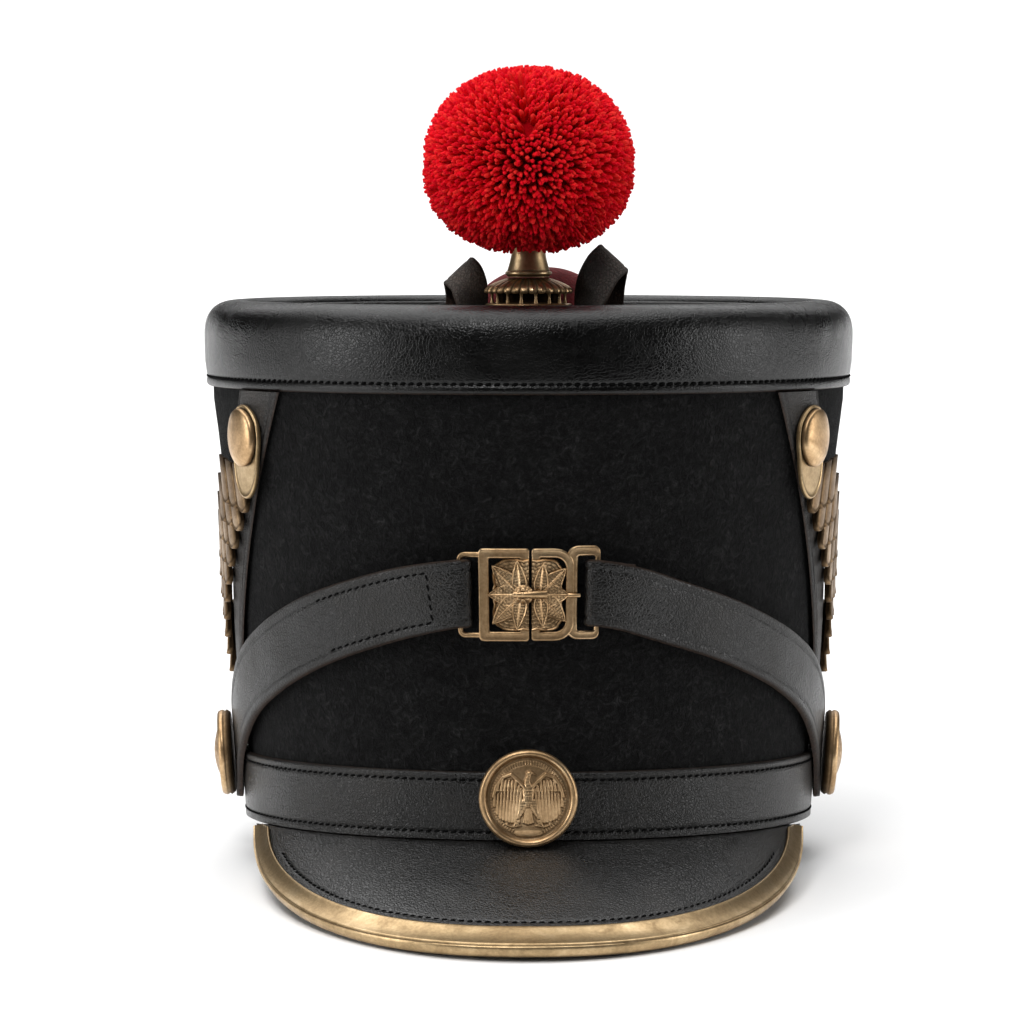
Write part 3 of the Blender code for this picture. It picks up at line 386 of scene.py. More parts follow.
def wall_half_width(height):
    return BASE_HALF_WIDTH + FLARE_SLOPE * height + FLARE_CURVE * height**2


def wall_point(azimuth, height, lift):
    """Points that stand lift off the outer face of the felt."""
    azimuth, height, lift = np.broadcast_arrays(azimuth, height, lift)
    half = wall_half_width(height)
    x, y = (half + lift) * np.sin(azimuth), -(half * OVAL + lift) * np.cos(azimuth)
    return np.stack([x, y, height], axis=-1)


def arc_per_radian(azimuth, height):
    """Length along the wall for each radian of azimuth."""
    return wall_half_width(height) * np.sqrt(np.cos(azimuth) ** 2 + (OVAL * np.sin(azimuth)) ** 2)


def outward(azimuth):
    return np.stack([np.sin(azimuth), -np.cos(azimuth), np.zeros_like(azimuth)], axis=-1)


def around(azimuth, half, height):
    """Points round the hat at this half-width and height."""
    azimuth, half, height = np.broadcast_arrays(azimuth, half, height)
    return np.stack([half * np.sin(azimuth), -half * OVAL * np.cos(azimuth), height], axis=-1)


def round_the_hat(profile, steps):
    """Rings of points round the hat from a closed profile of (half-width, height)."""
    azimuth = np.linspace(0, 2 * pi, steps, endpoint=False)
    return azimuth, around(azimuth[:, None], profile[:, 0], profile[:, 1])


def pushed_out(rings, azimuth, amount):
    """Rings moved away from the hat's middle by this amount."""
    return rings + amount[..., None] * outward(azimuth)[:, None, :]


def stitches(path, normals):
    """Short slanted threads along a path on the leather, each dipping into it at its two ends."""
    along = np.concatenate([[0.0], np.cumsum(np.linalg.norm(np.diff(path, axis=0), axis=1))])
    count = max(int(along[-1] / STITCH_PITCH), 1)
    middles = (np.arange(count) + 0.5) * along[-1] / count

    def at(values, distance):
        return np.stack([np.interp(distance, along, column) for column in values.T], axis=-1)

    half = 0.5 * STITCH_SHARE * along[-1] / count
    ahead = unit(at(path, middles + 0.3 * MM) - at(path, middles - 0.3 * MM))
    up = unit(at(normals, middles))
    side = np.cross(up, ahead)
    places, sizes, rises = np.array(STITCH_SECTIONS).T[..., None]
    angles = circle(7)
    bodies = []
    for middle, forward, across, above in zip(at(path, middles), ahead, side, up):
        spine = middle + half * places * (forward + STITCH_SLANT * across) + STITCH_RADIUS * rises * above
        ring = np.cos(angles) * across + np.sin(angles) * above
        bodies.append(swept(spine[:, None, :] + STITCH_RADIUS * sizes[:, None] * ring))
    return bodies


def stitches_around(half, height):
    turns = np.linspace(0, 2 * pi, SEAM_STATIONS)
    return stitches(around(turns, half, height), outward(turns))


# ---------------------------------------------------------------- materials


def new_nodes(name):
    material = bpy.data.materials.new(name)
    material.use_nodes = True
    tree = material.node_tree
    return material, tree, tree.nodes["Principled BSDF"]


def fill(tree, made, inputs):
    """Inputs of a node: an output is linked, and a plain value is set on the socket itself."""
    for key, value in inputs.items():
        if isinstance(value, bpy.types.NodeSocket):
            tree.links.new(value, made.inputs[key])
        else:
            made.inputs[key].default_value = value


def node(tree, kind, inputs=None, **settings):
    made = tree.nodes.new(kind)
    for key, value in settings.items():
        setattr(made, key, value)
    fill(tree, made, inputs or {})
    return made


def place_node(tree, stretch=(1.0, 1.0, 1.0)):
    """Places in metres on the hat, which every texture is laid out in."""
    coordinates = node(tree, "ShaderNodeTexCoord").outputs["Object"]
    return node(tree, "ShaderNodeMapping", {"Vector": coordinates, "Scale": stretch}).outputs["Vector"]


def noise_node(tree, place, scale, detail=3.0, roughness=0.55, distortion=0.0):
    names = ("Vector", "Scale", "Detail", "Roughness", "Distortion")
    inputs = dict(zip(names, (place, scale, detail, roughness, distortion)))
    return node(tree, "ShaderNodeTexNoise", inputs).outputs["Fac"]


def rgba(colour):
    return (*colour, 1.0) if isinstance(colour, tuple) else colour


def ramp_node(tree, value, *stops):
    made = node(tree, "ShaderNodeValToRGB", {"Fac": value})
    elements = made.color_ramp.elements
    for _ in stops[2:]:
        elements.new(1.0)
    for element, (position, colour) in zip(elements, stops):
        element.position = position
        element.color = rgba(colour)
    return made.outputs["Color"]


def grey(value):
    return (value, value, value)


def mark_node(tree, name):
    return node(tree, "ShaderNodeAttribute", attribute_name=name, attribute_type="GEOMETRY").outputs["Fac"]


def mix_node(tree, share, first, second):
    inputs = {0: share, 6: rgba(first), 7: rgba(second)}
    return node(tree, "ShaderNodeMix", inputs, data_type="RGBA").outputs[2]


def math_node(tree, operation, *values):
    inputs = dict(enumerate((*values, 0.0)[:3]))
    return node(tree, "ShaderNodeMath", inputs, operation=operation).outputs["Value"]


def bump_node(tree, height, distance, strength=1.0, normal=None):
    inputs = {"Height": height, "Distance": distance, "Strength": strength}
    if normal:
        inputs["Normal"] = normal
    return node(tree, "ShaderNodeBump", inputs).outputs["Normal"]


def range_node(tree, value, low, high):
    """A value from 0.3 to 0.7 laid out between low and high."""
    inputs = {"Value": value, "From Min": 0.3, "From Max": 0.7, "To Min": low, "To Max": high}
    return node(tree, "ShaderNodeMapRange", inputs).outputs["Result"]


FELT_TONES = ((0.41, 0.0010), (0.50, 0.0044), (0.58, 0.0125), (0.70, 0.044))


def felt_material():
    """Black wool felt: a short crinkled nap that catches the light in small curls."""
    material, tree, shader = new_nodes("felt_look")
    place = place_node(tree)
    curls = noise_node(tree, place, 360.0, 5.0, 0.62, 1.3)
    worms = noise_node(tree, place, 900.0, 3.0, 0.6, 3.0)
    fibres = noise_node(tree, place, 2100.0, 3.0, 0.6, 0.6)
    patches = noise_node(tree, place, 60.0, 3.0, 0.5, 0.4)
    fine = math_node(tree, "MULTIPLY_ADD", worms, 0.25, math_node(tree, "MULTIPLY", patches, 0.12))
    mixed = math_node(tree, "MULTIPLY_ADD", curls, 0.63, fine)
    stops = [(at, grey(tone)) for at, tone in FELT_TONES]
    fill(tree, shader, {
        "Base Color": ramp_node(tree, mixed, *stops),
        "Roughness": 0.90,
        "Specular IOR Level": 0.10,
        "Sheen Weight": 0.05,
        "Sheen Roughness": 0.45,
        "Sheen Tint": (0.6, 0.6, 0.62, 1.0),
        "Normal": bump_node(tree, fibres, 0.0003, 0.6, bump_node(tree, mixed, 0.0042, 1.0)),
    })
    return material


RUBBED = (2.4, 2.3, 2.2)  # how much lighter than its colour the leather's rubbed places are
CUT_EDGE = ((0.3, (0.014, 0.0080, 0.0055)), (0.75, (0.060, 0.033, 0.020)))


def leather_material(name, base, roughness, specular, grain=1.0):
    """Black grained leather with brown cut edges, painted shade in seam grooves and rubbed high places; base is
    its colour.
    """
    material, tree, shader = new_nodes(name)
    place = place_node(tree)
    warp = node(tree, "ShaderNodeTexNoise", {"Vector": place, "Scale": 420.0, "Detail": 3.0}).outputs["Color"]
    strength = {0: warp, 1: grey(0.0022)}
    bent = node(tree, "ShaderNodeVectorMath", strength, operation="MULTIPLY").outputs["Vector"]
    moved = node(tree, "ShaderNodeVectorMath", {0: place, 1: bent}, operation="ADD").outputs["Vector"]
    cell_inputs = {"Vector": moved, "Scale": 900.0}
    cells = node(tree, "ShaderNodeTexVoronoi", cell_inputs, feature="DISTANCE_TO_EDGE").outputs["Distance"]
    pebble = ramp_node(tree, cells, (0.0, grey(0.0)), (0.14, grey(0.65)), (0.45, grey(1.0)))
    pores = noise_node(tree, place, 2600.0, 4.0, 0.65)
    folds = noise_node(tree, place, 300.0, 5.0, 0.62, 0.8)
    cloudy = noise_node(tree, place, 46.0, 3.0, 0.5, 0.2)
    fibres = noise_node(tree, place, 700.0, 4.0, 0.6)
    dark, rubbed = (tuple(k * part for k, part in zip(share, base)) for share in (grey(0.5), RUBBED))
    colour = ramp_node(tree, cloudy, (0.32, dark), (0.52, base), (0.75, rubbed))
    colour = mix_node(tree, math_node(tree, "MULTIPLY_ADD", pebble, -0.7, 0.7), colour, grey(0.0008))
    # painted shade: the seam mark darkens the leather in stitch grooves and pressed lines
    colour = mix_node(tree, mark_node(tree, "seam"), colour, grey(0.0006))
    brown = ramp_node(tree, fibres, *CUT_EDGE)
    satin = range_node(tree, cloudy, roughness - 0.04, roughness + 0.10)
    first = bump_node(tree, folds, 0.00040, 0.14 * grain)
    second = bump_node(tree, pebble, 0.00018, 0.60 * grain, first)
    fill(tree, shader, {
        "Base Color": mix_node(tree, mark_node(tree, "edge"), colour, brown),
        "Roughness": math_node(tree, "MULTIPLY_ADD", mark_node(tree, "edge"), 0.3, satin),
        "Specular IOR Level": specular,
        "Normal": bump_node(tree, pores, 0.00008, 0.40, second),
    })
    return material


def thread_material():
    """Black waxed thread, matt beside the leather."""
    material, tree, shader = new_nodes("thread_look")
    strands = noise_node(tree, place_node(tree), 3800.0, 2.0, 0.5)
    fill(tree, shader, {
        "Base Color": ramp_node(tree, strands, (0.35, grey(0.0006)), (0.7, grey(0.0040))),
        "Roughness": 0.80,
        "Specular IOR Level": 0.06,
        "Normal": bump_node(tree, strands, 0.0001, 0.6),
    })
    return material


BRIGHT_TONES = ((0.240, 0.160, 0.080), (0.470, 0.335, 0.182), (0.700, 0.530, 0.320))
CHAIN_TONES = ((0.110, 0.068, 0.034), (0.250, 0.165, 0.092), (0.490, 0.350, 0.215))
AGED_TONES = ((0.220, 0.138, 0.064), (0.490, 0.322, 0.172), (0.800, 0.585, 0.345))


# tarnish in recesses, also used as painted shade on slopes, undersides and hidden backs
TARNISH_AND_SHADE = (0.018, 0.010, 0.005)


def brass_material(name, tones, satin):
    """Antique brass in three tones: rubbed bright on high places, brown in its recesses from tarnish and
    painted shade.
    """
    material, tree, shader = new_nodes(name)
    place = place_node(tree)
    clouds = noise_node(tree, place, 85.0, 5.0, 0.62, 0.6)
    specks = noise_node(tree, place, 900.0, 4.0, 0.65)
    brushed = noise_node(tree, place_node(tree, (240.0, 240.0, 2600.0)), 1.0, 3.0, 0.6)
    tone = math_node(tree, "MULTIPLY_ADD", clouds, 0.7, math_node(tree, "MULTIPLY", specks, 0.3))
    colour = ramp_node(tree, tone, *zip((0.30, 0.50, 0.72), tones))
    dulled = range_node(tree, tone, satin + 0.08, satin - 0.09)
    fill(tree, shader, {
        # dark mark: tarnish plus painted shade in recesses, on slopes and undersides
        "Base Color": mix_node(tree, mark_node(tree, "dark"), colour, TARNISH_AND_SHADE),
        "Metallic": 1.0,
        "Roughness": math_node(tree, "MULTIPLY_ADD", mark_node(tree, "dark"), 0.35, dulled),
        "Normal": bump_node(tree, specks, 0.00009, 0.35, bump_node(tree, brushed, 0.00005, 0.35)),
    })
    return material


WOOL_TONES = ((0.15, (0.66, 0.001, 0.014)), (0.5, (0.90, 0.005, 0.018)), (0.85, (1.0, 0.045, 0.034)))
# colour of the painted shade deep in the ball
WOOL_CORE_SHADE = (0.50, 0.001, 0.008)


def wool_material():
    """Red yarn: each strand has its own tone, and painted shade darkens it towards the ball's core."""
    material, tree, shader = new_nodes("red_wool_look")
    twist = noise_node(tree, place_node(tree), 1700.0, 4.0, 0.6, 0.8)
    twisted = math_node(tree, "MULTIPLY", twist, 0.45)
    tone = math_node(tree, "MULTIPLY_ADD", mark_node(tree, "tone"), 0.55, twisted)
    colour = ramp_node(tree, tone, *WOOL_TONES)
    fill(tree, shader, {
        # depth mark: painted shade towards the core
        "Base Color": mix_node(tree, mark_node(tree, "depth"), colour, WOOL_CORE_SHADE),
        "Roughness": 0.85,
        "Specular IOR Level": 0.06,
        "Sheen Weight": 0.13,
        "Sheen Roughness": 0.4,
        "Sheen Tint": (1.0, 0.25, 0.16, 1.0),
        "Normal": bump_node(tree, twist, 0.0007, 0.7),
    })
    return material


def red_cloth_material():
    """Dark red wool cloth with a raised nap."""
    material, tree, shader = new_nodes("red_cloth_look")
    nap = noise_node(tree, place_node(tree), 650.0, 5.0, 0.6, 1.2)
    fill(tree, shader, {
        "Base Color": ramp_node(tree, nap, (0.3, (0.085, 0.004, 0.006)), (0.7, (0.20, 0.012, 0.015))),
        "Roughness": 0.9,
        "Sheen Weight": 0.3,
        "Sheen Tint": (0.9, 0.3, 0.3, 1.0),
        "Normal": bump_node(tree, nap, 0.0006, 0.7),
    })
    return material


FELT = felt_material()
LEATHER = leather_material("leather_look", (0.0050, 0.0042, 0.0032), 0.29, 0.37, 1.2)
PEAK_LEATHER = leather_material("peak_leather_look", (0.0056, 0.0050, 0.0042), 0.30, 0.72)
RIM_LEATHER = leather_material("polished_leather_look", (0.0010, 0.0010, 0.0009), 0.24, 0.34, 0.65)
BOW_LEATHER = leather_material("bow_leather_look", (0.0520, 0.0440, 0.0380), 0.55, 0.35, 2.0)
SIDE_LEATHER = leather_material("matt_leather_look", (0.0200, 0.0165, 0.0140), 0.46, 0.42, 2.0)
THREAD = thread_material()
BRASS = brass_material("brass_look", BRIGHT_TONES, 0.36)
OLD_BRASS = brass_material("old_brass_look", AGED_TONES, 0.36)
CHAIN_BRASS = brass_material("chain_brass_look", CHAIN_TONES, 0.42)
RED_WOOL = wool_material()
RED_CLOTH = red_cloth_material()


# ---------------------------------------------------------------- felt wall


def corner_profile(angles, reach):
    """Points of the crown's rounded corner, at this reach from the middle of its rounding."""
    across, up = (part(angles).clip(0) ** (2 / CORNER_POWER) for part in (np.cos, np.sin))
    return np.stack([CORNER_RADIUS + reach * across, CORNER_HEIGHT + reach * up], axis=-1)


def build_felt():
    """The wall with its short nap as a slightly uneven face; the inside is smoother."""
    low, top = 1.2 * MM, 141.0 * MM
    outer_heights, inner_heights = np.linspace(low, top, 46), np.linspace(low, top, 12)
    outer = np.stack([wall_half_width(outer_heights), outer_heights], axis=-1)
    inner = np.stack([wall_half_width(inner_heights) - FELT_THICKNESS, inner_heights], axis=-1)
    angles = pi / 2 * np.linspace(0, 0.97, 8)
    roll = RIM_ROLL - RIM_THICKNESS - GAP
    corner_out, corner_in = corner_profile(angles, roll), corner_profile(angles, roll - FELT_THICKNESS)
    outside = wall_half_width(0.0)
    inside = outside - FELT_THICKNESS
    small = 0.3 * MM
    foot = [(inside + small, small), (inside + low, 0.0), (outside - low, 0.0), (outside - small, small)]
    profile = np.vstack([outer, corner_out, corner_in[::-1], inner[::-1], foot])
    azimuth, rings = round_the_hat(profile, WALL_STEPS)
    face = rings[:, : len(outer)]
    uneven = 0.10 * MM * rough(face, 3.2 * MM) + 0.10 * MM * rough(face, 11 * MM, 7.0)
    rings[:, : len(outer)] = pushed_out(face, azimuth, uneven)
    piece("felt_wall", [swept(rings, ring=True)], FELT, "felt", "felt_body")


# ---------------------------------------------------------------- crown


RIM_SEAM = 149.0 * MM
# painted shade: how much a seam's groove is darkened between its stitches
SEAM_GROOVE_SHADE = 0.10  # how dark the groove of a seam is between its stitches
RIM_SKIRT = (
    # height and half-width in mm of the skirt below the roll
    (145.7, 108.7), (146.3, 109.25), (147.2, 109.55), (148.3, 109.35), (149.0, 109.1), (150.2, 109.5),
    (154.0, 110.0), (162.3, 110.3),
)
RIM_LIP = (
    # half-width and height in mm from the roll down inside the crown and back up under the roll
    (97.2, 174.55), (96.2, 174.2), (95.4, 173.7), (94.9, 173.1), (94.55, 172.4), (94.4, 171.5), (94.4, 170.2),
    (94.5, 168.9), (95.9, 168.9), (95.9, 171.7),
)
RIM_FOOT = ((107.9, 154.0), (107.9, 145.9), (108.2, 145.65))


def build_rim():
    """Leather rolled over the top of the wall, sewn down near its lower edge."""
    heights = [145.9, 146.3, 146.9, 147.5, 148.0, *np.linspace(148.3, 150.0, 7)]
    heights += [150.8, 152.0, 154.0, 157.0, 160.0]
    skirt = np.stack([np.interp(heights, *np.array(RIM_SKIRT).T), heights], axis=-1) * MM
    roll = corner_profile(pi / 2 * np.linspace(0.02, 1.0, 22), RIM_ROLL)
    inner = corner_profile(pi / 2 * np.linspace(0.94, 0.0, 8), RIM_ROLL - RIM_THICKNESS)
    lip, foot = np.array(RIM_LIP) * MM, np.array(RIM_FOOT) * MM
    profile = np.vstack([skirt, roll, lip, inner, foot])
    azimuth, rings = round_the_hat(profile, RIM_STEPS)
    faces = len(skirt) + len(roll)
    shown = rings[:, :faces]
    away = np.clip((profile[:faces, 1] - 151 * MM) / (8 * MM), 0, 1)
    swell = 0.32 * MM * rough(shown, 26 * MM) + 0.12 * MM * rough(shown, 8 * MM, 3.0)
    rings[:, :faces] = pushed_out(shown, azimuth, swell * away)
    near = bump(profile[:, 1] - RIM_SEAM, 0.95 * MM) * (np.arange(len(profile)) < len(skirt))
    rings = pushed_out(rings, azimuth, -0.20 * MM * near[None, :])
    edge = np.zeros(len(profile))
    edge[[0, -2, -1]] = (0.3, 0.6, 1.0)
    # seam: painted shade in the groove along the stitched seam
    body = swept(rings, ring=True, seam=SEAM_GROOVE_SHADE * near, edge=edge)
    piece("crown_leather", [body], RIM_LEATHER, "leather", "crown_rim")
    piece("crown_stitches", stitches_around(109.12 * MM, RIM_SEAM), THREAD, "leather")


DISC_HEM = ((92.2, 170.35), (92.6, 170.9), (92.7, 171.8), (93.0, 172.3), (93.5, 172.5), (94.05, 172.1))
DISC_BACK = ((94.05, 168.5), (60.0, 168.5), (0.0, 168.5))


def build_disc():
    """The flat top inside the rim, a little uneven, with a flange that stands up against the lip."""
    flat = [(radius, DISC_TOP / MM) for radius in (0.0, *np.linspace(2.0, 91.0, 30))]
    points, faces, marks = turned_body(np.array([*flat, *DISC_HEM, *DISC_BACK]) * MM, 240, OVAL)
    upper = np.abs(points[:, 2] - DISC_TOP) < 0.02 * MM
    points[upper, 2] += 0.25 * MM * rough(points[upper], 30 * MM)
    piece("crown_top_leather", [(points, faces, marks)], LEATHER, "leather", "crown_disc")


def build_band():
    """The base band: two sewn seams with a rolled edge outside each."""
    seams = (BAND_BOTTOM + 2.9 * MM, BAND_TOP - 2.7 * MM)
    heights = np.linspace(BAND_BOTTOM, BAND_TOP, 58)
    inside = np.minimum(heights - BAND_BOTTOM, BAND_TOP - heights)
    rounding = np.where(heights < BAND_TOP / 2, 0.5 * MM, 1.1 * MM)
    lift = BAND_THICKNESS * (0.45 + 0.55 * rounded_edge(inside, rounding))
    for seam in seams:
        lift -= 0.26 * MM * bump(heights - seam, 1.3 * MM)
    lift += 0.12 * MM * bump(heights - (BAND_BOTTOM + BAND_TOP) / 2, 9 * MM)
    outer = np.stack([wall_half_width(heights) + GAP + lift, heights], axis=-1)
    inner = np.stack([wall_half_width(heights[::-8]) + GAP, heights[::-8]], axis=-1)
    azimuth, rings = round_the_hat(np.vstack([outer, inner]), BAND_STEPS)
    shown = rings[:, : len(outer)]
    swell = 0.09 * MM * rough(shown, 14 * MM, 5.0)
    rings[:, : len(outer)] = pushed_out(shown, azimuth, swell * smooth_step(inside / (4 * MM)))
    near = np.zeros(rings.shape[1])
    near[: len(outer)] = np.maximum(*(bump(heights - seam, 0.8 * MM) for seam in seams))
    rings = pushed_out(rings, azimuth, -0.1 * MM * near[None, :])
    edge = np.ones(len(near))
    edge[1 : len(outer) - 1] = 0.0
    edge[[0, len(outer) - 1]] = 0.35
    # seam: painted shade in the grooves of the two seams
    body = swept(rings, ring=True, seam=SEAM_GROOVE_SHADE * near, edge=edge)
    piece("base_band_leather", [body], LEATHER, "leather", "base_band")
    lift = GAP + BAND_THICKNESS - 0.22 * MM
    bodies = [stitch for seam in seams for stitch in stitches_around(wall_half_width(seam) + lift, seam)]
    piece("base_band_stitches", bodies, THREAD, "leather")


# ---------------------------------------------------------------- peak


def peak_edge(turn):
    across = np.sin(turn * pi / 2)
    forward = between(PEAK_END_FORWARD, PEAK_FORWARD, np.cos(turn * pi / 2))
    down = np.clip(1 - np.abs(across) ** PEAK_POWER, 0.0, 1.0) ** (1 / PEAK_POWER)
    return np.stack([PEAK_HALF_WIDTH * across, -forward, PEAK_TOP - PEAK_DROP * down], axis=-1)


def peak_root(turn, reach):
    point = wall_point(turn * PEAK_END_AZIMUTH, 0.0, reach)
    point[..., 2] = PEAK_TOP
    return point


def peak_length(turn):
    return np.linalg.norm(peak_edge(turn) - peak_root(turn, PEAK_START), axis=-1)


def peak_turns(count):
    """Places along the peak from -1 to 1, closer together towards its two ends."""
    t = np.linspace(-1, 1, count)
    return t * (1.28 - 0.28 * t * t)


def peak_point(turn, v):
    """Points of the peak's upper face: v is 0 where it leaves the base band and 1 at its edge."""
    turn, v = np.broadcast_arrays(turn, v)
    point = between(peak_root(turn, PEAK_START), peak_edge(turn), v[..., None])
    point[..., 2] += PEAK_CROWN * np.sin(pi * v) * (1 - np.abs(turn) ** 3)
    return point


def peak_normal(turn, v):
    step = 0.004
    along = peak_point(np.minimum(turn + step, 1.0), v) - peak_point(np.maximum(turn - step, -1.0), v)
    out = peak_point(turn, np.minimum(v + step, 1.0)) - peak_point(turn, np.maximum(v - step, 0.0))
    normal = np.cross(out, along)
    normal /= np.maximum(np.linalg.norm(normal, axis=-1), 1e-12)[..., None]
    return np.where(normal[..., 2:] > -0.2, normal, -normal)


def trim_width(turn):
    return between(TRIM_WIDTH_FRONT, TRIM_WIDTH_END, np.abs(turn) ** 1.5)


PEAK_SEAM_INSIDE = 3.1 * MM
PEAK_SEAM_DEPTH = 0.225 * MM


def build_peak():
    """The leather peak with a seam that runs inside its brass edge."""
    turn = peak_turns(260)[:, None]
    v = np.concatenate([np.linspace(0, 0.5, 10)[:-1], np.linspace(0.5, 1.0, 44)])
    top, normals, lengths = peak_point(turn, v), peak_normal(turn, v), peak_length(turn)
    from_seam = (1 - v) * lengths - trim_width(turn) - PEAK_SEAM_INSIDE
    near = bump(from_seam, 1.0 * MM) * smooth_step((lengths - trim_width(turn) - 9 * MM) / (4 * MM))
    swell = 0.22 * MM * rough(top, 24 * MM, 2.0) + 0.07 * MM * rough(top, 7 * MM, 9.0)
    swell = swell * smooth_step(v * 6) * smooth_step((1 - v) * 12)
    top = top + (swell - PEAK_SEAM_DEPTH * near)[..., None] * normals
    root = peak_root(turn, -2.6 * MM)
    lower = peak_point(turn, v[::-6]) - PEAK_THICKNESS * peak_normal(turn, v[::-6])
    sections = np.concatenate([root, top, lower, root - np.array([0, 0, PEAK_THICKNESS])], axis=1)
    columns = sections.shape[1]
    # seam: painted shade in the stitched groove inside the trim
    seam = np.pad(SEAM_GROOVE_SHADE * near, ((0, 0), (1, columns - 1 - len(v))))
    edge = np.where(np.arange(columns) > len(v), 0.5, 0.0)
    piece("peak_leather", [swept(sections, seam=seam, edge=edge)], PEAK_LEATHER, "leather", "peak")
    turns = np.linspace(-0.80, 0.80, 900)
    share = 1 - (trim_width(turns) + PEAK_SEAM_INSIDE) / peak_length(turns)
    path = peak_point(turns, share) - 0.22 * MM * peak_normal(turns, share)
    piece("peak_stitches", stitches(path, peak_normal(turns, share)), THREAD, "leather")


def build_trim():
    """The brass channel: a flat flange on the leather, a crease and a rolled lip round the edge."""
    turn = np.unique(np.clip(peak_turns(420), -TRIM_REACH, TRIM_REACH))
    thick, over = TRIM_THICKNESS / MM, TRIM_GAP / MM
    face, under = over + thick, -PEAK_THICKNESS / MM - over
    share, lift = np.array([
        # share of the trim's width in from the edge (below 0 it is mm past the edge), then lift in mm
        (1.00, over + 0.10), (0.995, over + 0.45), (0.975, over + 0.62), (0.94, face + 0.06),
        (0.86, face + 0.02), (0.75, face - 0.08), (0.64, face - 0.14), (0.53, face - 0.16),
        (0.42, face - 0.13), (0.33, face - 0.07), (0.24, face + 0.02), (0.17, face + 0.12),
        (0.125, face + 0.16), (0.09, face + 0.04), (0.065, face - 0.22), (0.045, face - 0.18),
        (0.02, face + 0.05), (-0.10, face + 0.14), (-0.45, over + 0.42), (-0.85, over - 0.05),
        (-1.12, -0.75), (-1.22, -1.35), (-1.12, -2.0), (-0.80, under + 0.10), (-0.40, under - 0.35),
        (0.02, under - 0.60), (0.10, under - thick), (0.40, under - thick), (0.66, under - thick),
        (0.70, under - 0.5), (0.70, under - 0.06), (0.60, under), (0.30, under), (0.08, under),
        (-0.15, under + 0.2), (-0.30, -1.3), (-0.15, over - 0.2), (0.08, over), (0.40, over + 0.02),
        (0.75, over + 0.02), (0.97, over + 0.02),
    ]).T
    lengths, width = peak_length(turn)[:, None], trim_width(turn)[:, None]
    v = 1 - np.minimum(np.maximum(share, 0.0) * width, TRIM_MOST * lengths) / lengths
    points = peak_point(turn[:, None], v) + (lift * MM)[:, None] * peak_normal(turn[:, None], v)
    away = unit(peak_edge(turn) - peak_point(turn, 0.97))
    points = points + (np.maximum(-share, 0.0) * MM)[:, None] * away[:, None]
    # dark: tarnish plus painted shade at the flange's inner edge, in the crease and under the channel
    dark = np.zeros(len(share))
    dark[:2] = (0.6, 0.25)
    dark[13:16] = (0.3, 0.75, 0.45)
    dark[23:33] = 0.6
    piece("peak_trim_brass", [swept(points, dark=dark)], BRASS, "brass", "peak_trim", sharp=60)


# ---------------------------------------------------------------- strap


def strap_frame(side, at):
    """Azimuth, height and width of the strap on this side and the unit direction across it."""
    step = 0.01
    places = (np.clip(at + shift, 0.0, 1.0) for shift in (0, -step, step))
    here, before, after = (spline(STRAP_ROUTES[side], place) for place in places)
    azimuth, height = np.radians(here[:, 0]), here[:, 1] * MM
    along = np.radians(after[:, 0] - before[:, 0]) * arc_per_radian(azimuth, height)
    rise = (after[:, 1] - before[:, 1]) * MM
    length = np.hypot(along, rise)
    return azimuth, height, here[:, 2] * MM, -rise / length, along / length


def strap_lift(azimuth):
    over_bar = BUCKLE_STANDOFF + BUCKLE_BAR + GAP
    return between(STRAP_LIFT, over_bar, smooth_step(1 - (azimuth - STRAP_RISE[0]) / STRAP_RISE[1]))


def on_front(x, rise, lift):
    """Points by the buckle: x and rise from its middle along the wall, lift off the felt."""
    return wall_point(x / arc_per_radian(0.0, BUCKLE_HEIGHT), BUCKLE_HEIGHT + rise, lift)


LINE_INSIDE = 3.1 * MM
STRAP_COLUMNS = 46
SEWN = (17.5, 41.0)  # azimuths in degrees between which the left half is sewn


def strap_section():
    """Share across the strap, share of its thickness, distance in from its edge, and 1 on its face."""
    top, bottom = np.linspace(-0.5, 0.5, STRAP_COLUMNS), np.linspace(0.5, -0.5, 9)
    inside = (0.5 - np.abs(top)) * STRAP_WIDTH
    thick = np.append(0.5 + 0.5 * rounded_edge(inside, 0.9 * MM), np.where(np.abs(bottom) > 0.49, 0.12, 0.0))
    face = np.repeat([1.0, 0.0], (len(top), len(bottom)))
    return np.append(top, bottom), thick, np.append(inside, np.ones(len(bottom))), face


def strap_at_azimuth(side, degrees):
    """Place on the strap's route whose middle lies at this azimuth."""
    at = np.linspace(0, 1, 400)
    return float(np.interp(degrees, spline(STRAP_ROUTES[side], at)[:, 0], at))


def strap_on_wall(side, at, share, thick):
    """Points of the strap at these places along its route, from 0 at the buckle to 1 at its end."""
    azimuth, height, width, along, up = strap_frame(side, at)
    width = width * (0.42 + 0.58 * rounded_edge(1 - at, 0.055))
    upright = np.clip((azimuth - radians(STRAP_ROUTES[side][0][0])) / radians(9), 0.0, 1.0)
    turned = azimuth[:, None] + (upright * width * along / arc_per_radian(azimuth, height))[:, None] * share
    rise = (width * (1 + upright * (up - 1)))[:, None] * share
    return wall_point(turned, height[:, None] + rise, strap_lift(azimuth)[:, None] + STRAP_THICKNESS * thick)


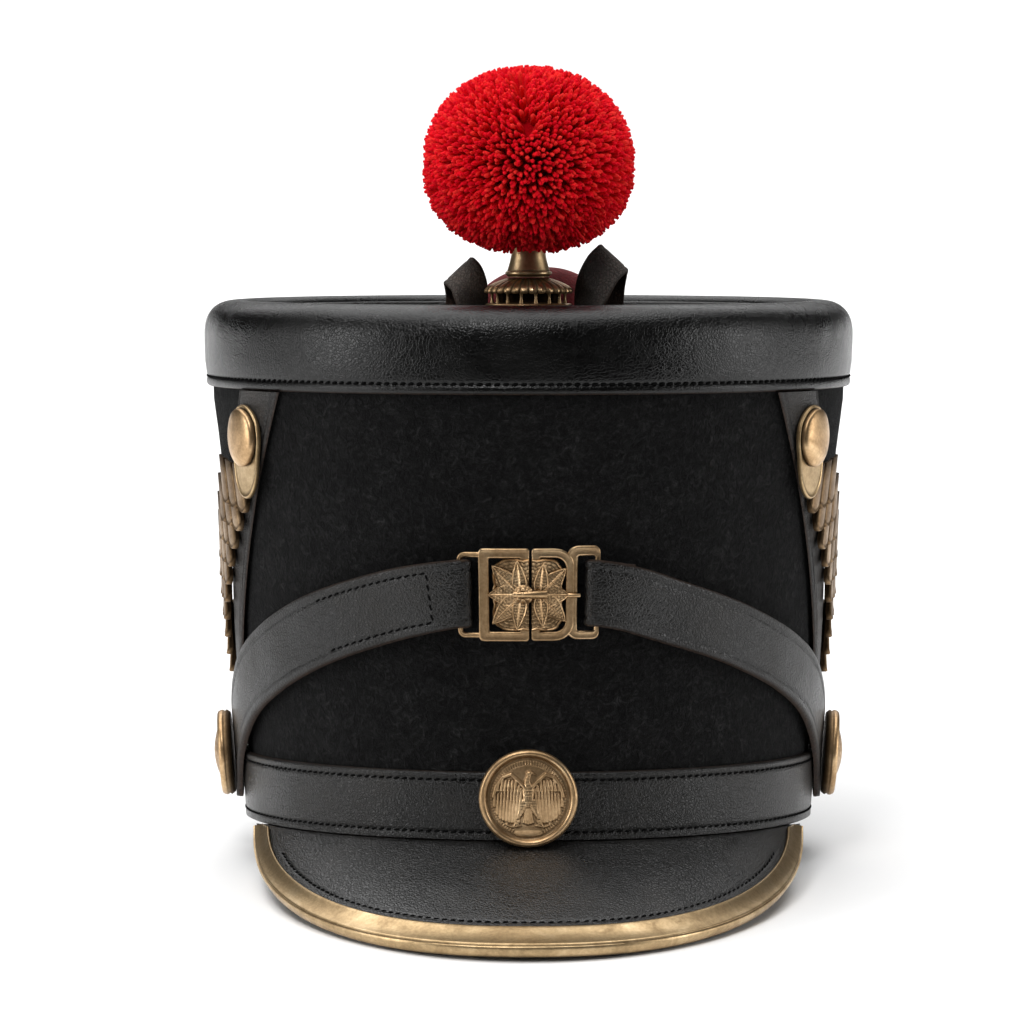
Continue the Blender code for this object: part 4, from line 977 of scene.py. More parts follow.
def strap_round_bar(side, share, thick):
    """Points of the strap's turn round the end bar and of the part that runs back behind itself."""
    fold, back = np.linspace(0, pi, 22)[1:, None], np.linspace(0, 1, 10)[1:, None]
    _, height, width = STRAP_ROUTES[side][0]
    rise = (share * width + height) * MM - BUCKLE_HEIGHT
    radius = BUCKLE_BAR / 2 + GAP + STRAP_THICKNESS * thick
    lift = BUCKLE_STANDOFF + BUCKLE_BAR / 2 + radius * np.cos(fold)
    folded = on_front(END_BAR_X - radius * np.sin(fold), rise, lift)
    lift = GAP + 0.15 * MM + STRAP_THICKNESS * (1 - thick)
    behind = on_front(END_BAR_X + back * FOLD_BACK, rise - STRAP_FALL * back * FOLD_BACK, lift)
    return np.concatenate([folded, behind])


def strap_stitches(side, at, share, depth):
    """Stitches of the strap; depth is the share of its thickness that is under them."""
    path, higher = (strap_on_wall(side, at, share, np.full(len(share), thick)) for thick in (depth, 1.30))
    path, higher = path.reshape(-1, 3), higher.reshape(-1, 3)
    return stitches(on_this_side(path, side), on_this_side(higher - path, side))


def build_strap(word, side):
    """The strap half with its pressed border lines; the left one is sewn beside the buckle."""
    share, thick, inside, face = strap_section()
    at = np.linspace(1.0, 0.0, 300)
    points, lifted = (
        np.concatenate([strap_on_wall(side, at, share, high), strap_round_bar(side, share, high)])
        for high in (thick, thick + 0.1)
    )
    line = bump(inside - LINE_INSIDE, 0.8 * MM) * face
    rim = bump(inside - 1.5 * MM, 1.4 * MM) * face
    swell = 0.13 * MM * rough(points, 12 * MM, 4.0) + 0.05 * MM * rough(points, 4 * MM, 8.0)
    shape = swell * face - 0.30 * MM * line + 0.10 * MM * rim
    points = on_this_side(points + shape[..., None] * unit(lifted - points), side)
    edge = 1 - face
    edge[[0, STRAP_COLUMNS - 1]] = 0.9
    edge[[1, STRAP_COLUMNS - 2]] = 0.25
    # seam: painted shade in the pressed border lines
    body = swept(points, seam=0.45 * line, edge=edge)
    piece(f"strap_{word}_leather", [body], LEATHER, "leather", f"strap_{word}")
    if side > 0:
        return
    start, stop = (strap_at_azimuth(side, degrees) for degrees in SEWN)
    half = 0.5 - LINE_INSIDE / STRAP_WIDTH
    bodies = []
    for row in (-1, 1):
        bodies += strap_stitches(side, np.linspace(start, stop, 160), np.array([row * half]), 0.90)
    across = np.linspace(-0.5, 0.5, 60) * (1 - 2 * LINE_INSIDE / STRAP_WIDTH)
    bodies += strap_stitches(side, np.array([start]), across, 0.95)
    piece("strap_left_stitches", bodies, THREAD, "leather")


# ---------------------------------------------------------------- chevrons


def chevron_leg(side, rear):
    heights = np.linspace(CHEVRON_EDGES[0][0], CHEVRON_EDGES[-1][0], 110)[:, None]
    rows = np.array(CHEVRON_EDGES)[::-1].T
    outer, inner = (np.interp(heights, rows[0], row) for row in rows[1:])
    across = np.linspace(0, 1, 30)
    azimuth = between(outer, inner, across)
    azimuth = np.radians(180 - azimuth if rear else azimuth)
    high = heights * MM
    width = np.radians(inner - outer) * arc_per_radian(azimuth, high)
    from_outer, from_inner = across * width, (1 - across) * width
    nearest = np.minimum(from_outer, np.where(inner < 89.9, from_inner, 1.0))
    lines = bump(from_outer - 3.0 * MM, 0.8 * MM) + 0.5 * bump(from_outer - 4.8 * MM, 0.4 * MM)
    lines += 0.5 * bump(from_inner - 1.6 * MM, 0.5 * MM)
    lift = CHEVRON_LIFT + CHEVRON_THICKNESS * (0.72 + 0.28 * rounded_edge(nearest, 0.5 * MM))
    lift = lift + 0.34 * MM * bump(from_outer - 1.3 * MM, 1.25 * MM) - 0.80 * MM * lines
    top, low = wall_point(azimuth, high, lift), wall_point(azimuth[:, ::-5], high, CHEVRON_LIFT)
    # the seam mark here is painted shade in the pressed lines
    sections, seam = backed(top, low, 0.5 * lines, 0.0)
    edge = np.ones(sections.shape[1])
    edge[1 : len(across) - 1] = 0.0
    return swept(on_this_side(sections, side), edge=edge, seam=seam)


def build_chevron(word, side):
    """The V of leather on this side: cut edges brown, with two pressed lines beside each."""
    bodies = [chevron_leg(side, rear) for rear in (False, True)]
    piece(f"chevron_{word}_leather", bodies, SIDE_LEATHER, "leather", f"chevron_{word}")


# ---------------------------------------------------------------- chin scales


def on_side(origin, down, across, lift, lean=0.0, row=0.0):
    """Points of the wall down and across (to the back) from the origin (azimuth, height).

    Down leans forward by one angle and across rises towards the back by the other.
    """
    azimuth, height = origin
    back = across * cos(row) - down * sin(lean)
    new_height = height - down * cos(lean) + across * sin(row)
    return wall_point(azimuth + back / arc_per_radian(azimuth, height), new_height, lift)


def plate_lift(down):
    return np.maximum(CHAIN_LIFT, CHAIN_LIFT + 0.45 * MM + SCALE_TILT * down)


def scale_body(side, number):
    """One plate: three domed leaves side by side, each with a raised rim round its lower end."""
    share = number / (SCALE_COUNT - 1)
    place = [between(*ends, share) for ends in zip(SCALE_FIRST, SCALE_LAST)]
    width = between(*SCALE_WIDTHS, share)
    lobe = width / SCALE_LOBES
    u = np.linspace(0, 1, SCALE_LOBES * SCALE_COLUMNS + 1)[:, None]
    x = 2 * ((u * SCALE_LOBES) % 1.0) - 1
    end = SCALE_LENGTH / 2 - 0.66 * lobe * (1 - arch(x))
    t = 1 - (1 - np.linspace(0, 1, SCALE_ROWS)) ** 1.4
    down, across = -SCALE_LENGTH / 2 + t * (end + SCALE_LENGTH / 2), (u - 0.5) * width
    to_side = (1 - np.abs(x)) * lobe / 2
    to_edge = np.minimum(end - down, to_side + 0.15 * MM)
    dome = 0.10 * lobe * arch(x)
    rim = 0.26 * MM * bump(to_edge - 0.45 * MM, 0.5 * MM) * smooth_step((t - 0.3) * 3)
    tilted = CHAIN_LIFT + SCALE_TILT * (down + SCALE_LENGTH / 2)
    lift = tilted + SCALE_THICKNESS + dome + rim - 0.3 * MM * bump(to_edge, 0.25 * MM)
    lift = lift - 0.35 * MM * bump(to_side, 0.5 * MM)
    top = on_side(place, down, across, lift, SCALE_LEAN, SCALE_ROW)
    low = on_side(place, down, across, CHAIN_LIFT + 0.3 * (tilted - CHAIN_LIFT) + dome, SCALE_LEAN, SCALE_ROW)
    # dark: tarnish plus painted shade between the lobes, inside the rims, on the upper part under the plate
    # above, and on the back
    dark = 0.9 * bump(to_side, 0.45 * MM) + 0.55 * bump(to_edge - 1.1 * MM, 0.45 * MM)
    dark = np.clip(dark + 0.8 * smooth_step(1 - t * 2.2), 0, 1)
    sections, dark = backed(top, low[:, ::-1], dark, 0.8)
    return swept(on_this_side(sections, side), dark=dark)


def build_chain(word, side):
    bodies = [scale_body(side, number) for number in range(SCALE_COUNT)]
    nodes = [f"scale_{word}_{number + 1:02d}" for number in range(SCALE_COUNT)]
    piece(f"chin_scales_{word}", bodies, CHAIN_BRASS, "brass", *nodes)


def on_boss(side, angle, reach, *lifts):
    """Points at this reach from the middle of the boss; the lifts add up from its plate's back."""
    down, across = reach * np.cos(angle), reach * np.sin(angle) * BOSS_NARROW
    return on_this_side(on_side(BOSS_PLACE, down, across, sum(lifts, plate_lift(down))), side)


def build_boss(word, side):
    """The drop-shaped plate with a raised rim and the plain domed stud on it."""
    angle = circle(120)
    share = np.append(np.linspace(0.1, 0.84, 10), [0.88, 0.91, 0.94, 0.965, 0.985, 1.0])
    reach = between(PLATE_RADIUS, PLATE_TAIL, np.clip(np.cos(angle), 0, 1) ** 4)
    inside = (1 - share) * reach
    rim = 0.32 * MM * bump(inside - 0.65 * MM, 0.75 * MM) - 0.35 * MM * bump(inside, 0.22 * MM)
    top, low = on_boss(side, angle, reach * share, PLATE_THICKNESS, rim), on_boss(side, angle, reach * share)
    # dark: tarnish plus painted shade in the groove inside the rim, at the plate's edge and on its back
    dark = 0.75 * bump(inside - 1.5 * MM, 0.5 * MM) + 0.6 * bump(inside, 0.2 * MM)
    rings, dark = backed(top, low[:, ::-1], dark, 0.7)
    plate = capped_rings(rings, on_boss(side, 0.0, 0.0, PLATE_THICKNESS), on_boss(side, 0.0, 0.0), dark=dark)
    piece(f"boss_plate_{word}_brass", [plate], BRASS, "brass", f"boss_plate_{word}")
    reach, rise = np.array(BOSS_PROFILE).T * [[BOSS_RADIUS], [BOSS_RISE]]
    rings = on_boss(side, angle, reach, PLATE_THICKNESS, GAP, rise)
    ends = [on_boss(side, 0.0, 0.0, PLATE_THICKNESS, GAP, lift) for lift in (0.0, BOSS_RISE)]
    # dark: painted shade round the foot of the stud, where it meets the plate
    dark = np.zeros(len(BOSS_PROFILE))
    dark[:3] = (0.9, 0.8, 0.35)
    piece(f"boss_{word}_brass", [capped_rings(rings, *ends, dark=dark)], OLD_BRASS, "brass", f"boss_{word}")


# ---------------------------------------------------------------- buckle


def round_box(x0, x1, y0, y1, left_corner, right_corner):
    """Outline in metres of a rectangle in mm with rounded corners and points along its straight sides."""
    corners = []
    for x, y, way_x, way_y, radius, start in (
        (x1, y0, 1, -1, right_corner, -90), (x1, y1, 1, 1, right_corner, 0),
        (x0, y1, -1, 1, left_corner, 90), (x0, y0, -1, -1, left_corner, 180),
    ):
        angles = np.radians(start + np.linspace(0, 90, 7))
        middle = (x - way_x * radius, y - way_y * radius)
        corners.append(middle + radius * np.stack([np.cos(angles), np.sin(angles)], axis=-1))
    share = np.linspace(0, 1, 10)[1:-1, None]
    rows = []
    for corner, after in zip(corners, corners[1:] + corners[:1]):
        rows += [corner, between(corner[-1], after[0], share)]
    return np.vstack(rows) * MM


def bar_ring(box, bars, corners, low, high, bevel=0.42):
    """A flat closed bar round the rectangle box = (x0, x1, y0, y1), bevelled along its edges; mm.

    bars are its widths on those four sides.
    """
    x0, x1, y0, y1 = box
    left, right, under, over = bars
    outer = round_box(*box, *corners)
    inner_corners = (max(radius - bar, 0.6) for radius, bar in zip(corners, bars))
    inner = round_box(x0 + left, x1 - right, y0 + under, y1 - over, *inner_corners)
    t = bevel / max(bars)
    share, lift, dark = np.array([
        # share of the bar's width, lift, painted shade with tarnish
        (0.0, low + bevel, 0.6), (0.0, high - bevel, 0.1), (0.3 * t, high - 0.35 * bevel, 0.0),
        (t, high, 0.0), (1.6 * t, high - 0.06, 0.12), (0.5, high - 0.10, 0.18),
        (1 - 1.6 * t, high - 0.06, 0.12), (1 - t, high, 0.0), (1 - 0.3 * t, high - 0.35 * bevel, 0.0),
        (1.0, high - bevel, 0.45), (1.0, low + bevel, 0.85), (1 - t, low, 0.9), (t, low, 0.9),
    ]).T
    flat = between(outer[:, None], inner[:, None], share[:, None])
    return swept(on_front(flat[..., 0], flat[..., 1], BUCKLE_STANDOFF + lift * MM), ring=True, dark=dark)


def scale_relief(x, y, pitch):
    """Small overlapping scales: their height from 0 to 1 at each place."""
    row = np.floor(y / pitch)
    place = (x / pitch + 0.5 * (row % 2)) % 1.0 - 0.5
    return (1 - (y / pitch - row)) * arch(2 * place)


def on_buckle(x, y, lift):
    """Points on the buckle from its middle; mm."""
    return on_front(x * MM, y * MM, BUCKLE_STANDOFF + lift * MM)


def leaf_body(base, degrees, length, half_width, lifts):
    """A pointed leaf that grows from its base in this direction; mm.

    It has a smooth raised rim, and small scales on either side of a middle rib.
    """
    s, v = np.linspace(0, 1, 56)[:, None], np.linspace(-1, 1, 25)
    half = half_width * np.sin(pi * s**0.72) ** 0.75 * (1 - 0.25 * s) + 0.14
    along, across = length * s, half * v
    turn = radians(degrees)
    x = base[0] + along * cos(turn) - across * sin(turn)
    y = base[1] + along * sin(turn) + across * cos(turn)
    from_edge = (1 - np.abs(v)) * half
    dome = 0.55 * arch(v) * np.clip(half / half_width, 0, 1)
    field = smooth_step((from_edge - 0.70) / 0.2) * (1 - bump(across, 0.5))
    scales = scale_relief(across, along, 0.95)
    height = between(*lifts, s) + dome + 0.38 * bump(from_edge - 0.36, 0.42) + 0.34 * bump(across, 0.36)
    height += 0.26 * field * (scales - 0.5) - 0.9 * bump(from_edge, 0.14)
    # dark: tarnish plus painted shade between the small scales, in the groove inside the rim, down the edges
    # and on the back
    dark = np.clip(field * (0.75 - scales) * 0.8 + 0.6 * bump(from_edge - 0.78, 0.22), 0, 0.85)
    dark = np.maximum(dark, 0.9 * bump(from_edge, 0.16))
    sections, dark = backed(on_buckle(x, y, height), on_buckle(x[:, ::-4], y[:, ::-4], 0.3), dark, 1.0)
    return swept(sections, dark=dark)


FAN = (
    # a half palmette: degrees from the middle line, length, half-width, lift at its base and at its tip in mm
    (84, 12.6, 2.6, (2.35, 2.35)), (-84, 12.6, 2.6, (2.35, 2.35)), (47, 14.2, 3.7, (2.40, 1.70)),
    (-47, 14.2, 3.7, (2.40, 1.70)), (0, 11.0, 4.2, (2.50, 1.80)),
)


def fan_bodies(base, side, reach):
    """Five leaves spread to this side of the middle, the middle one uppermost; reach scales their lengths."""
    middle = 0 if side > 0 else 180
    return [leaf_body(base, middle + side * turn, length * reach, *rest) for turn, length, *rest in FAN]


def shell_body(base, side, half_width, half_height):
    """The scalloped and scaled ground under a fan of leaves, raised where it crosses the joint's bar; mm."""
    turn, share = np.linspace(-pi / 2, pi / 2, 150)[:, None], np.linspace(0.02, 1.0, 56)
    across, upward = np.abs(np.cos(turn)), np.abs(np.sin(turn))
    reach = ((across / half_width) ** 6 + (upward / half_height) ** 6) ** (-1 / 6)
    reach = reach * (0.955 + 0.045 * np.abs(np.cos(5.5 * turn)) ** 0.7)
    out = reach * share * np.cos(turn)
    x, y = base[0] + side * out, base[1] + reach * share * np.sin(turn)
    inside = (1 - share) * reach
    scales = scale_relief(9.0 * turn, inside, 1.25)
    field = smooth_step((inside - 0.9) / 0.3)
    over_bar = smooth_step((5.0 - out) / 1.6)
    height = 1.45 + 1.0 * over_bar + 0.40 * bump(inside - 0.5, 0.45) - 0.5 * bump(inside, 0.2)
    height += 0.30 * field * (scales - 0.5)
    # dark: tarnish plus painted shade between the scales, in the groove by the edge, at the edge and on the
    # back
    dark = field * (0.95 - scales) * 0.85 + 0.6 * bump(inside - 1.0, 0.25) + 0.8 * bump(inside, 0.2)
    low = on_buckle(x[:, ::-4], y[:, ::-4], 0.3)
    sections, dark = backed(on_buckle(x, y, height), low, np.clip(dark, 0, 0.9), 1.0)
    return swept(sections, dark=dark)


def ridge(points, count, radii, flat_back):
    """A rounded bar along a curve through points of (x, y, lift), cut off flat at the lift flat_back; mm."""
    points = spline(points, np.linspace(0, 1, count))
    ahead = unit(np.gradient(points, axis=0))
    side = unit(np.stack([-ahead[:, 1], ahead[:, 0], np.zeros(count)], axis=-1))
    angles = circle(14)
    ring = np.cos(angles) * side[:, None] + np.sin(angles) * np.array([0, 0, 1.0])
    loops = points[:, None] + np.linspace(*radii, count)[:, None, None] * ring
    return swept(on_buckle(loops[..., 0], loops[..., 1], np.maximum(loops[..., 2], flat_back)))


ROSETTE_LOW = 3.65
ROSETTE_X = -1.6


def rosette_body():
    """The domed stud over the joint, with eight petals and a bead in its middle; mm."""
    angle, r = circle(96), np.linspace(0.04, 1, 26)
    petals = np.abs(np.cos(4 * angle)) ** 0.6
    radius = 3.25 * (0.90 + 0.10 * petals)
    height = ROSETTE_LOW + 1.8 - 1.5 * r**2.2 + 0.42 * petals * bump(r - 0.62, 0.3)
    height = height - 0.5 * bump(r - 0.36, 0.10) + 0.25 * bump(r, 0.3)
    # dark: tarnish plus painted shade in the groove round the bead, between the petals and at the edge; the
    # back is dark too
    dark = 0.8 * bump(r - 0.36, 0.12) + 0.65 * (1 - petals) * bump(r - 0.7, 0.34)
    dark = np.clip(dark + 0.5 * bump(r - 1, 0.06), 0, 1)
    x, y = ROSETTE_X + radius * r * np.cos(angle), radius * r * np.sin(angle)
    low = on_buckle(x[:, ::-5], y[:, ::-5], ROSETTE_LOW)
    rings, dark = backed(on_buckle(x, y, height), low, dark, 0.9)
    ends = [on_buckle(ROSETTE_X, 0.0, lift) for lift in (ROSETTE_LOW + 2.07, ROSETTE_LOW)]
    return capped_rings(rings, *ends, dark=dark)


def build_buckle():
    """Two frames that hook together, each with a fan of scaled leaves in it and a loop for its strap."""
    end, bar = (END_BAR_X + LOOP_BAR / 2) / MM, BUCKLE_BAR / MM
    low, high = LOOP_INSET / MM, bar - LOOP_INSET / MM
    left = [
        bar_ring((-15.5, 0.2, -15.5, 15.0), (3.2, 2.6, 3.2, 3.2), (1.6, 1.0), 0.0, bar),
        bar_ring((-end, -13.6, -14.4, 13.8), (1.6, 1.8, 1.8, 1.8), (2.6, 0.8), low, high, 0.5),
        *fan_bodies((-2.3, -0.2), -1, 0.93),
        shell_body((0.1, -0.2), -1, 11.5, 12.0),
    ]
    tongue = ((5.6, 0, 3.2), (3.2, 0, 4.0), (0.6, 0, 4.4), (-1.6, 0, 4.4), (-4.4, 0, 4.0))
    pin = ((12.2, -0.4, 2.2), (14.0, -0.4, 2.7), (16.0, -0.4, 2.6))
    right = [
        bar_ring((1.0, 14.2, -15.3, 15.0), (2.5, 2.5, 3.0, 3.0), (1.0, 6.0), 0.0, bar),
        bar_ring((11.9, end, -14.9, 15.9), (3.4, 1.6, 2.9, 3.4), (3.6, 2.2), low, high, 0.5),
        rosette_body(),
        *fan_bodies((3.5, -0.2), 1, 0.84),
        shell_body((1.1, -0.2), 1, 9.9, 12.0),
        ridge(tongue, 24, (1.5, 1.15), ROSETTE_LOW),
        ridge(pin, 14, (0.95, 0.6), 1.6),
    ]
    piece("buckle_left_brass", left, OLD_BRASS, "brass", "buckle_left", sharp=60)
    piece("buckle_right_brass", right, OLD_BRASS, "brass", "buckle_right", sharp=60)


# ---------------------------------------------------------------- buttons


FIELD_SHARE = 0.78
BUTTON_TURNS, BUTTON_RINGS = 260, 84  # points round the front button and from its middle to its ring
FRONT_BUTTON_SHAPE = (
    # radius, thickness up to the top of the ring, dome of the face, then the ring's underside as
    # (share of the radius, height)
    16.2 * MM, 4.6 * MM, 1.3 * MM, ((0.86, 1.0 * MM), (0.76, 0.0)),
)
SIDE_BUTTON_SHAPE = (14.5 * MM, 4.4 * MM, 3.0 * MM, ((1.0, 1.2 * MM), (0.94, 0.0)))
FRONT_BUTTON_PLACE = (0.0, 13.9 * MM, 3.2 * MM, atan(FLARE_SLOPE + 2 * FLARE_CURVE * 13.9 * MM))
SIDE_BUTTON_PLACE = (pi / 2, 20.3 * MM, 5.4 * MM, radians(4))


def limb(x, y, start, end, widths, rise):
    """Height of a rounded limb from start to end, tapering between its two half-widths."""
    start, end = np.array(start), np.array(end)
    ahead = end - start
    t = np.clip(((x - start[0]) * ahead[0] + (y - start[1]) * ahead[1]) / (ahead @ ahead), 0, 1)
    distance = np.hypot(x - start[0] - t * ahead[0], y - start[1] - t * ahead[1])
    return rise * arch(distance / between(*widths, t))


BUTTON_RING = (
    # share of the radius, height in mm off the ring's top, painted shade
    (0.795, -1.34, 0.55), (0.810, -1.38, 0.60), (0.825, -1.26, 0.45), (0.84, -0.98, 0.2),
    (0.855, -0.62, 0.05), (0.87, -0.32, 0.0), (0.89, -0.10, 0.0), (0.91, 0.0, 0.0), (0.93, 0.0, 0.0),
    (0.95, -0.10, 0.0), (0.97, -0.36, 0.0), (0.985, -0.72, 0.0), (0.997, -1.15, 0.05), (1.0, -1.6, 0.1),
    (0.995, -2.0, 0.25), (0.97, -2.5, 0.5),
)
BRANCH = ((0.20, -0.70), (0.40, -0.74), (0.55, -0.68), (0.56, -0.58), (0.48, -0.56))
EAGLE_BODY = (
    # trunk and two parts of the neck: start, end, half-widths and rise of each limb
    ((0.0, 0.26), (0.0, -0.12), (0.16, 0.13), 1.15),
    ((0.0, 0.32), (-0.035, 0.48), (0.11, 0.08), 1.08),
    ((-0.035, 0.48), (0.02, 0.62), (0.08, 0.07), 1.08),
)
EAGLE_HEAD = (
    # skull and beak
    ((0.01, 0.66), (0.05, 0.67), (0.085, 0.07), 1.2),
    ((0.10, 0.675), (0.185, 0.635), (0.042, 0.012), 1.05),
)
MOUND = ((-0.24, -0.90), (0.24, -0.90), (0.14, 0.14), 0.42)
RAYS = 84
RAYS_START = 0.84  # where the border of rays begins, as a share of the field
QUILLS = 9
WING_BONE = ((0.08, 0.28), (0.24, 0.46), (0.45, 0.64), (0.66, 0.56), (0.82, 0.34), (0.91, 0.06))
COVERT_ROWS = (
    # height of a row of short feathers in the wing, x of its first and last feather, number of feathers, rise
    (0.47, 0.32, 0.66, 5, 0.86),
    (0.34, 0.24, 0.78, 7, 0.80),
)


def limbs(x, y, rows):
    """The highest of several limbs, each given by its start, end, half-widths and rise."""
    return np.maximum.reduce([limb(x, y, *row) for row in rows])


def wing_relief(x, y):
    """A raised wing: its bone, two rows of short feathers and the long ones that hang from below them."""
    rows = []
    for t in np.arange(QUILLS) / (QUILLS - 1):
        tip_x = 0.25 + 0.63 * t
        tip_y = max(-0.70 + 0.30 * t**2, -sqrt(0.90**2 - tip_x**2)) + 0.10 * (1 - t)
        rows.append(((0.18 + 0.68 * t, 0.26 - 0.16 * t), (tip_x, tip_y), (0.036, 0.050), 0.66))
    for row, first, last, count, rise in COVERT_ROWS:
        for k in range(count):
            place = first + (last - first) * k / (count - 1)
            rows.append(((place, row), (place + 0.01, row - 0.12), (0.040, 0.046), rise))
    rows += [(start, end, (0.060, 0.052), 0.98) for start, end in zip(WING_BONE, WING_BONE[1:])]
    return limbs(x, y, rows)


def leg_relief(x, y):
    """A feathered thigh, its claw and the branch that it holds."""
    thigh = limb(x, y, (0.09, -0.12), (0.27, -0.50), (0.135, 0.060), 0.95)
    thigh += np.where(thigh > 0.3, 0.14 * (scale_relief(x, y, 0.075) - 0.5), 0.0)
    rows = [((0.27, -0.50), (0.30, -0.62), (0.042, 0.032), 0.62)]
    rows += [((0.30, -0.60), (0.30 + toe, -0.71), (0.032, 0.022), 0.76) for toe in (-0.07, 0.0, 0.08)]
    rows += [(start, end, (0.034, 0.030), 0.55) for start, end in zip(BRANCH, BRANCH[1:])]
    return np.maximum(thigh, limbs(x, y, rows))


def eagle_relief(x, y):
    """A spread eagle on a branch, its head turned; places are shares of the button's field."""
    halves = [relief(x * mirror, y) for mirror in (-1, 1) for relief in (wing_relief, leg_relief)]
    tail = [((0.02 * k, -0.16), (0.06 * k, -0.66 + 0.02 * abs(k)), (0.03, 0.036), 0.55) for k in range(-2, 3)]
    body = limbs(x, y, EAGLE_BODY)
    body = body + np.where(body > 0.35, 0.20 * (scale_relief(x, y, 0.080) - 0.5), 0.0)
    height = np.maximum.reduce([*halves, body, limbs(x, y, tail + list(EAGLE_HEAD))])
    height = height - 0.4 * bump(np.hypot(x - 0.06, y - 0.685), 0.02)
    return np.maximum(height, limb(x, y, *MOUND))


def button_body(shape, place, rise, fine=1.0):
    """A button with a rolled ring, a cove, a border of rays and an eagle on its domed field."""
    radius, thickness, dome, back = shape
    azimuth, height, lift, lean = place
    angle = circle(int(BUTTON_TURNS * fine))
    r = np.linspace(0.012, 1.0, int(BUTTON_RINGS * fine))
    relief = eagle_relief(r * np.sin(angle), r * np.cos(angle))
    border = smooth_step((r - RAYS_START) / 0.05)
    rays = (0.5 + 0.5 * np.cos(RAYS * angle)) * border * smooth_step((1.0 - r) / 0.02)
    relief = np.where(relief > 0.02, relief, 0.34 * rays)
    face = thickness - 1.3 * MM + dome * (1 - r**2) + rise * relief
    # dark: painted shade with tarnish in the field's low places, on steep slopes of the relief, between the
    # rays and under the ring
    slope = np.hypot(*np.gradient(relief))
    low_places = (1 - smooth_step(relief / 0.42)) * smooth_step((0.90 - r) / 0.05)
    dark = np.clip(0.30 * low_places + 0.34 * smooth_step(slope * 3.0), 0, 0.70)
    dark = np.maximum(dark, np.where(relief < 0.3, 0.55 * (1 - rays) * border, 0.0))
    ring = np.array(BUTTON_RING) + np.array([0.0, thickness / MM, 0.0])
    under = [(share, low / MM, 0.85) for share, low in back]
    share, high, shade = np.vstack([ring, under, [(0.5, 0.0, 0.9)]]).T
    radii = side_by_side(r * (FIELD_SHARE * radius), share * radius)
    heights = side_by_side(face, high * MM)
    local = np.stack([radii * np.sin(angle), radii * np.cos(angle), heights], axis=-1)
    out = unit(np.array([OVAL * sin(azimuth), -cos(azimuth), 0.0]))
    upright = np.array([0.0, 0.0, 1.0])
    normal = out * cos(lean) - upright * sin(lean)
    up = out * sin(lean) + upright * cos(lean)
    axes = np.stack([np.cross(up, normal), up, normal])
    origin = wall_point(azimuth, height, lift)
    ends = [np.array([0, 0, value]) @ axes + origin for value in (float(face[:, 0].mean()), 0.0)]
    return capped_rings(local @ axes + origin, *ends, dark=side_by_side(dark, shade))


def build_buttons():
    """The front button, finely made, and the two coarser ones at the sides."""
    body = button_body(FRONT_BUTTON_SHAPE, FRONT_BUTTON_PLACE, 0.85 * MM)
    piece("front_button_brass", [body], OLD_BRASS, "brass", "front_button", sharp=70)
    for word, side in SIDES:
        azimuth, height, lift, lean = SIDE_BUTTON_PLACE
        body = button_body(SIDE_BUTTON_SHAPE, (side * azimuth, height, lift, lean), 0.22 * MM, 0.6)
        piece(f"side_button_{word}_brass", [body], OLD_BRASS, "brass", f"side_button_{word}", sharp=70)


# ---------------------------------------------------------------- pompom


STRANDS = 5400
YARN_RADIUS = 0.84 * MM
STRAND_SECTIONS = (
    # place along a strand, share of its girth, how deep it lies in the ball, which sets its painted shade
    (0.0, 0.62, 1.0), (0.5, 0.95, 0.55), (0.93, 0.95, 0.02), (1.0, 0.50, 0.0),
)
HEART_SHARE = 0.79  # size of the ball under the yarn
CLEFT_WIDTH = 0.27
CLEFT_PUSH = 0.07
CLEFT_DEPTH = 0.8 * MM
STRAND_SCATTER = 0.018
STRAND_BEND = 0.7 * MM
STRAND_UNEVEN = (-0.5, 1.3)  # mm by which a strand can stand out or fall short
STRAND_GIRTHS = (0.84, 1.12)
PLY_DEPTH = 0.09
CORE_SHARE, CLEFT_CORE_SHARE = 0.50, 0.52  # where the strands start, away from the parting and in it
SOCKET_CLEAR, SOCKET_RISE = 8.2 * MM, 1.4 * MM  # the strands stay this far above the socket's mouth near it
POMPOM_POWER = 2.18
POMPOM_PEAR = 0.05  # how much wider the ball is below its middle than above
# Ends of the parting on the front, as x and z of directions from the middle
CLEFT = ((0.00, 0.36), (-0.12, 0.86))


def directions(count):
    """Directions spread evenly over a ball."""
    k = np.arange(count) + 0.5
    z = 1 - 2 * k / count
    turn = pi * (1 + sqrt(5)) * k
    flat = np.sqrt(1 - z**2)
    return np.stack([flat * np.cos(turn), flat * np.sin(turn), z], axis=-1)


def pompom_reach(ways):
    """Distance from the middle to the ball's outside in each direction."""
    flat = np.hypot(ways[:, 0], ways[:, 1]) / (POMPOM_HALF_WIDTH * (1 - POMPOM_PEAR * ways[:, 2]))
    high = np.abs(ways[:, 2]) / POMPOM_HALF_HEIGHT
    return (flat**POMPOM_POWER + high**POMPOM_POWER) ** (-1 / POMPOM_POWER)


def cleft_place(ways):
    """Nearest point of the parting for each direction and the distance to it."""
    start, end = (np.array([x, -sqrt(1 - x * x - z * z), z]) for x, z in CLEFT)
    ahead = end - start
    t = np.clip((ways - start) @ ahead / (ahead @ ahead), 0, 1)
    nearest = unit(start + t[:, None] * ahead)
    return nearest, np.linalg.norm(ways - nearest, axis=1)


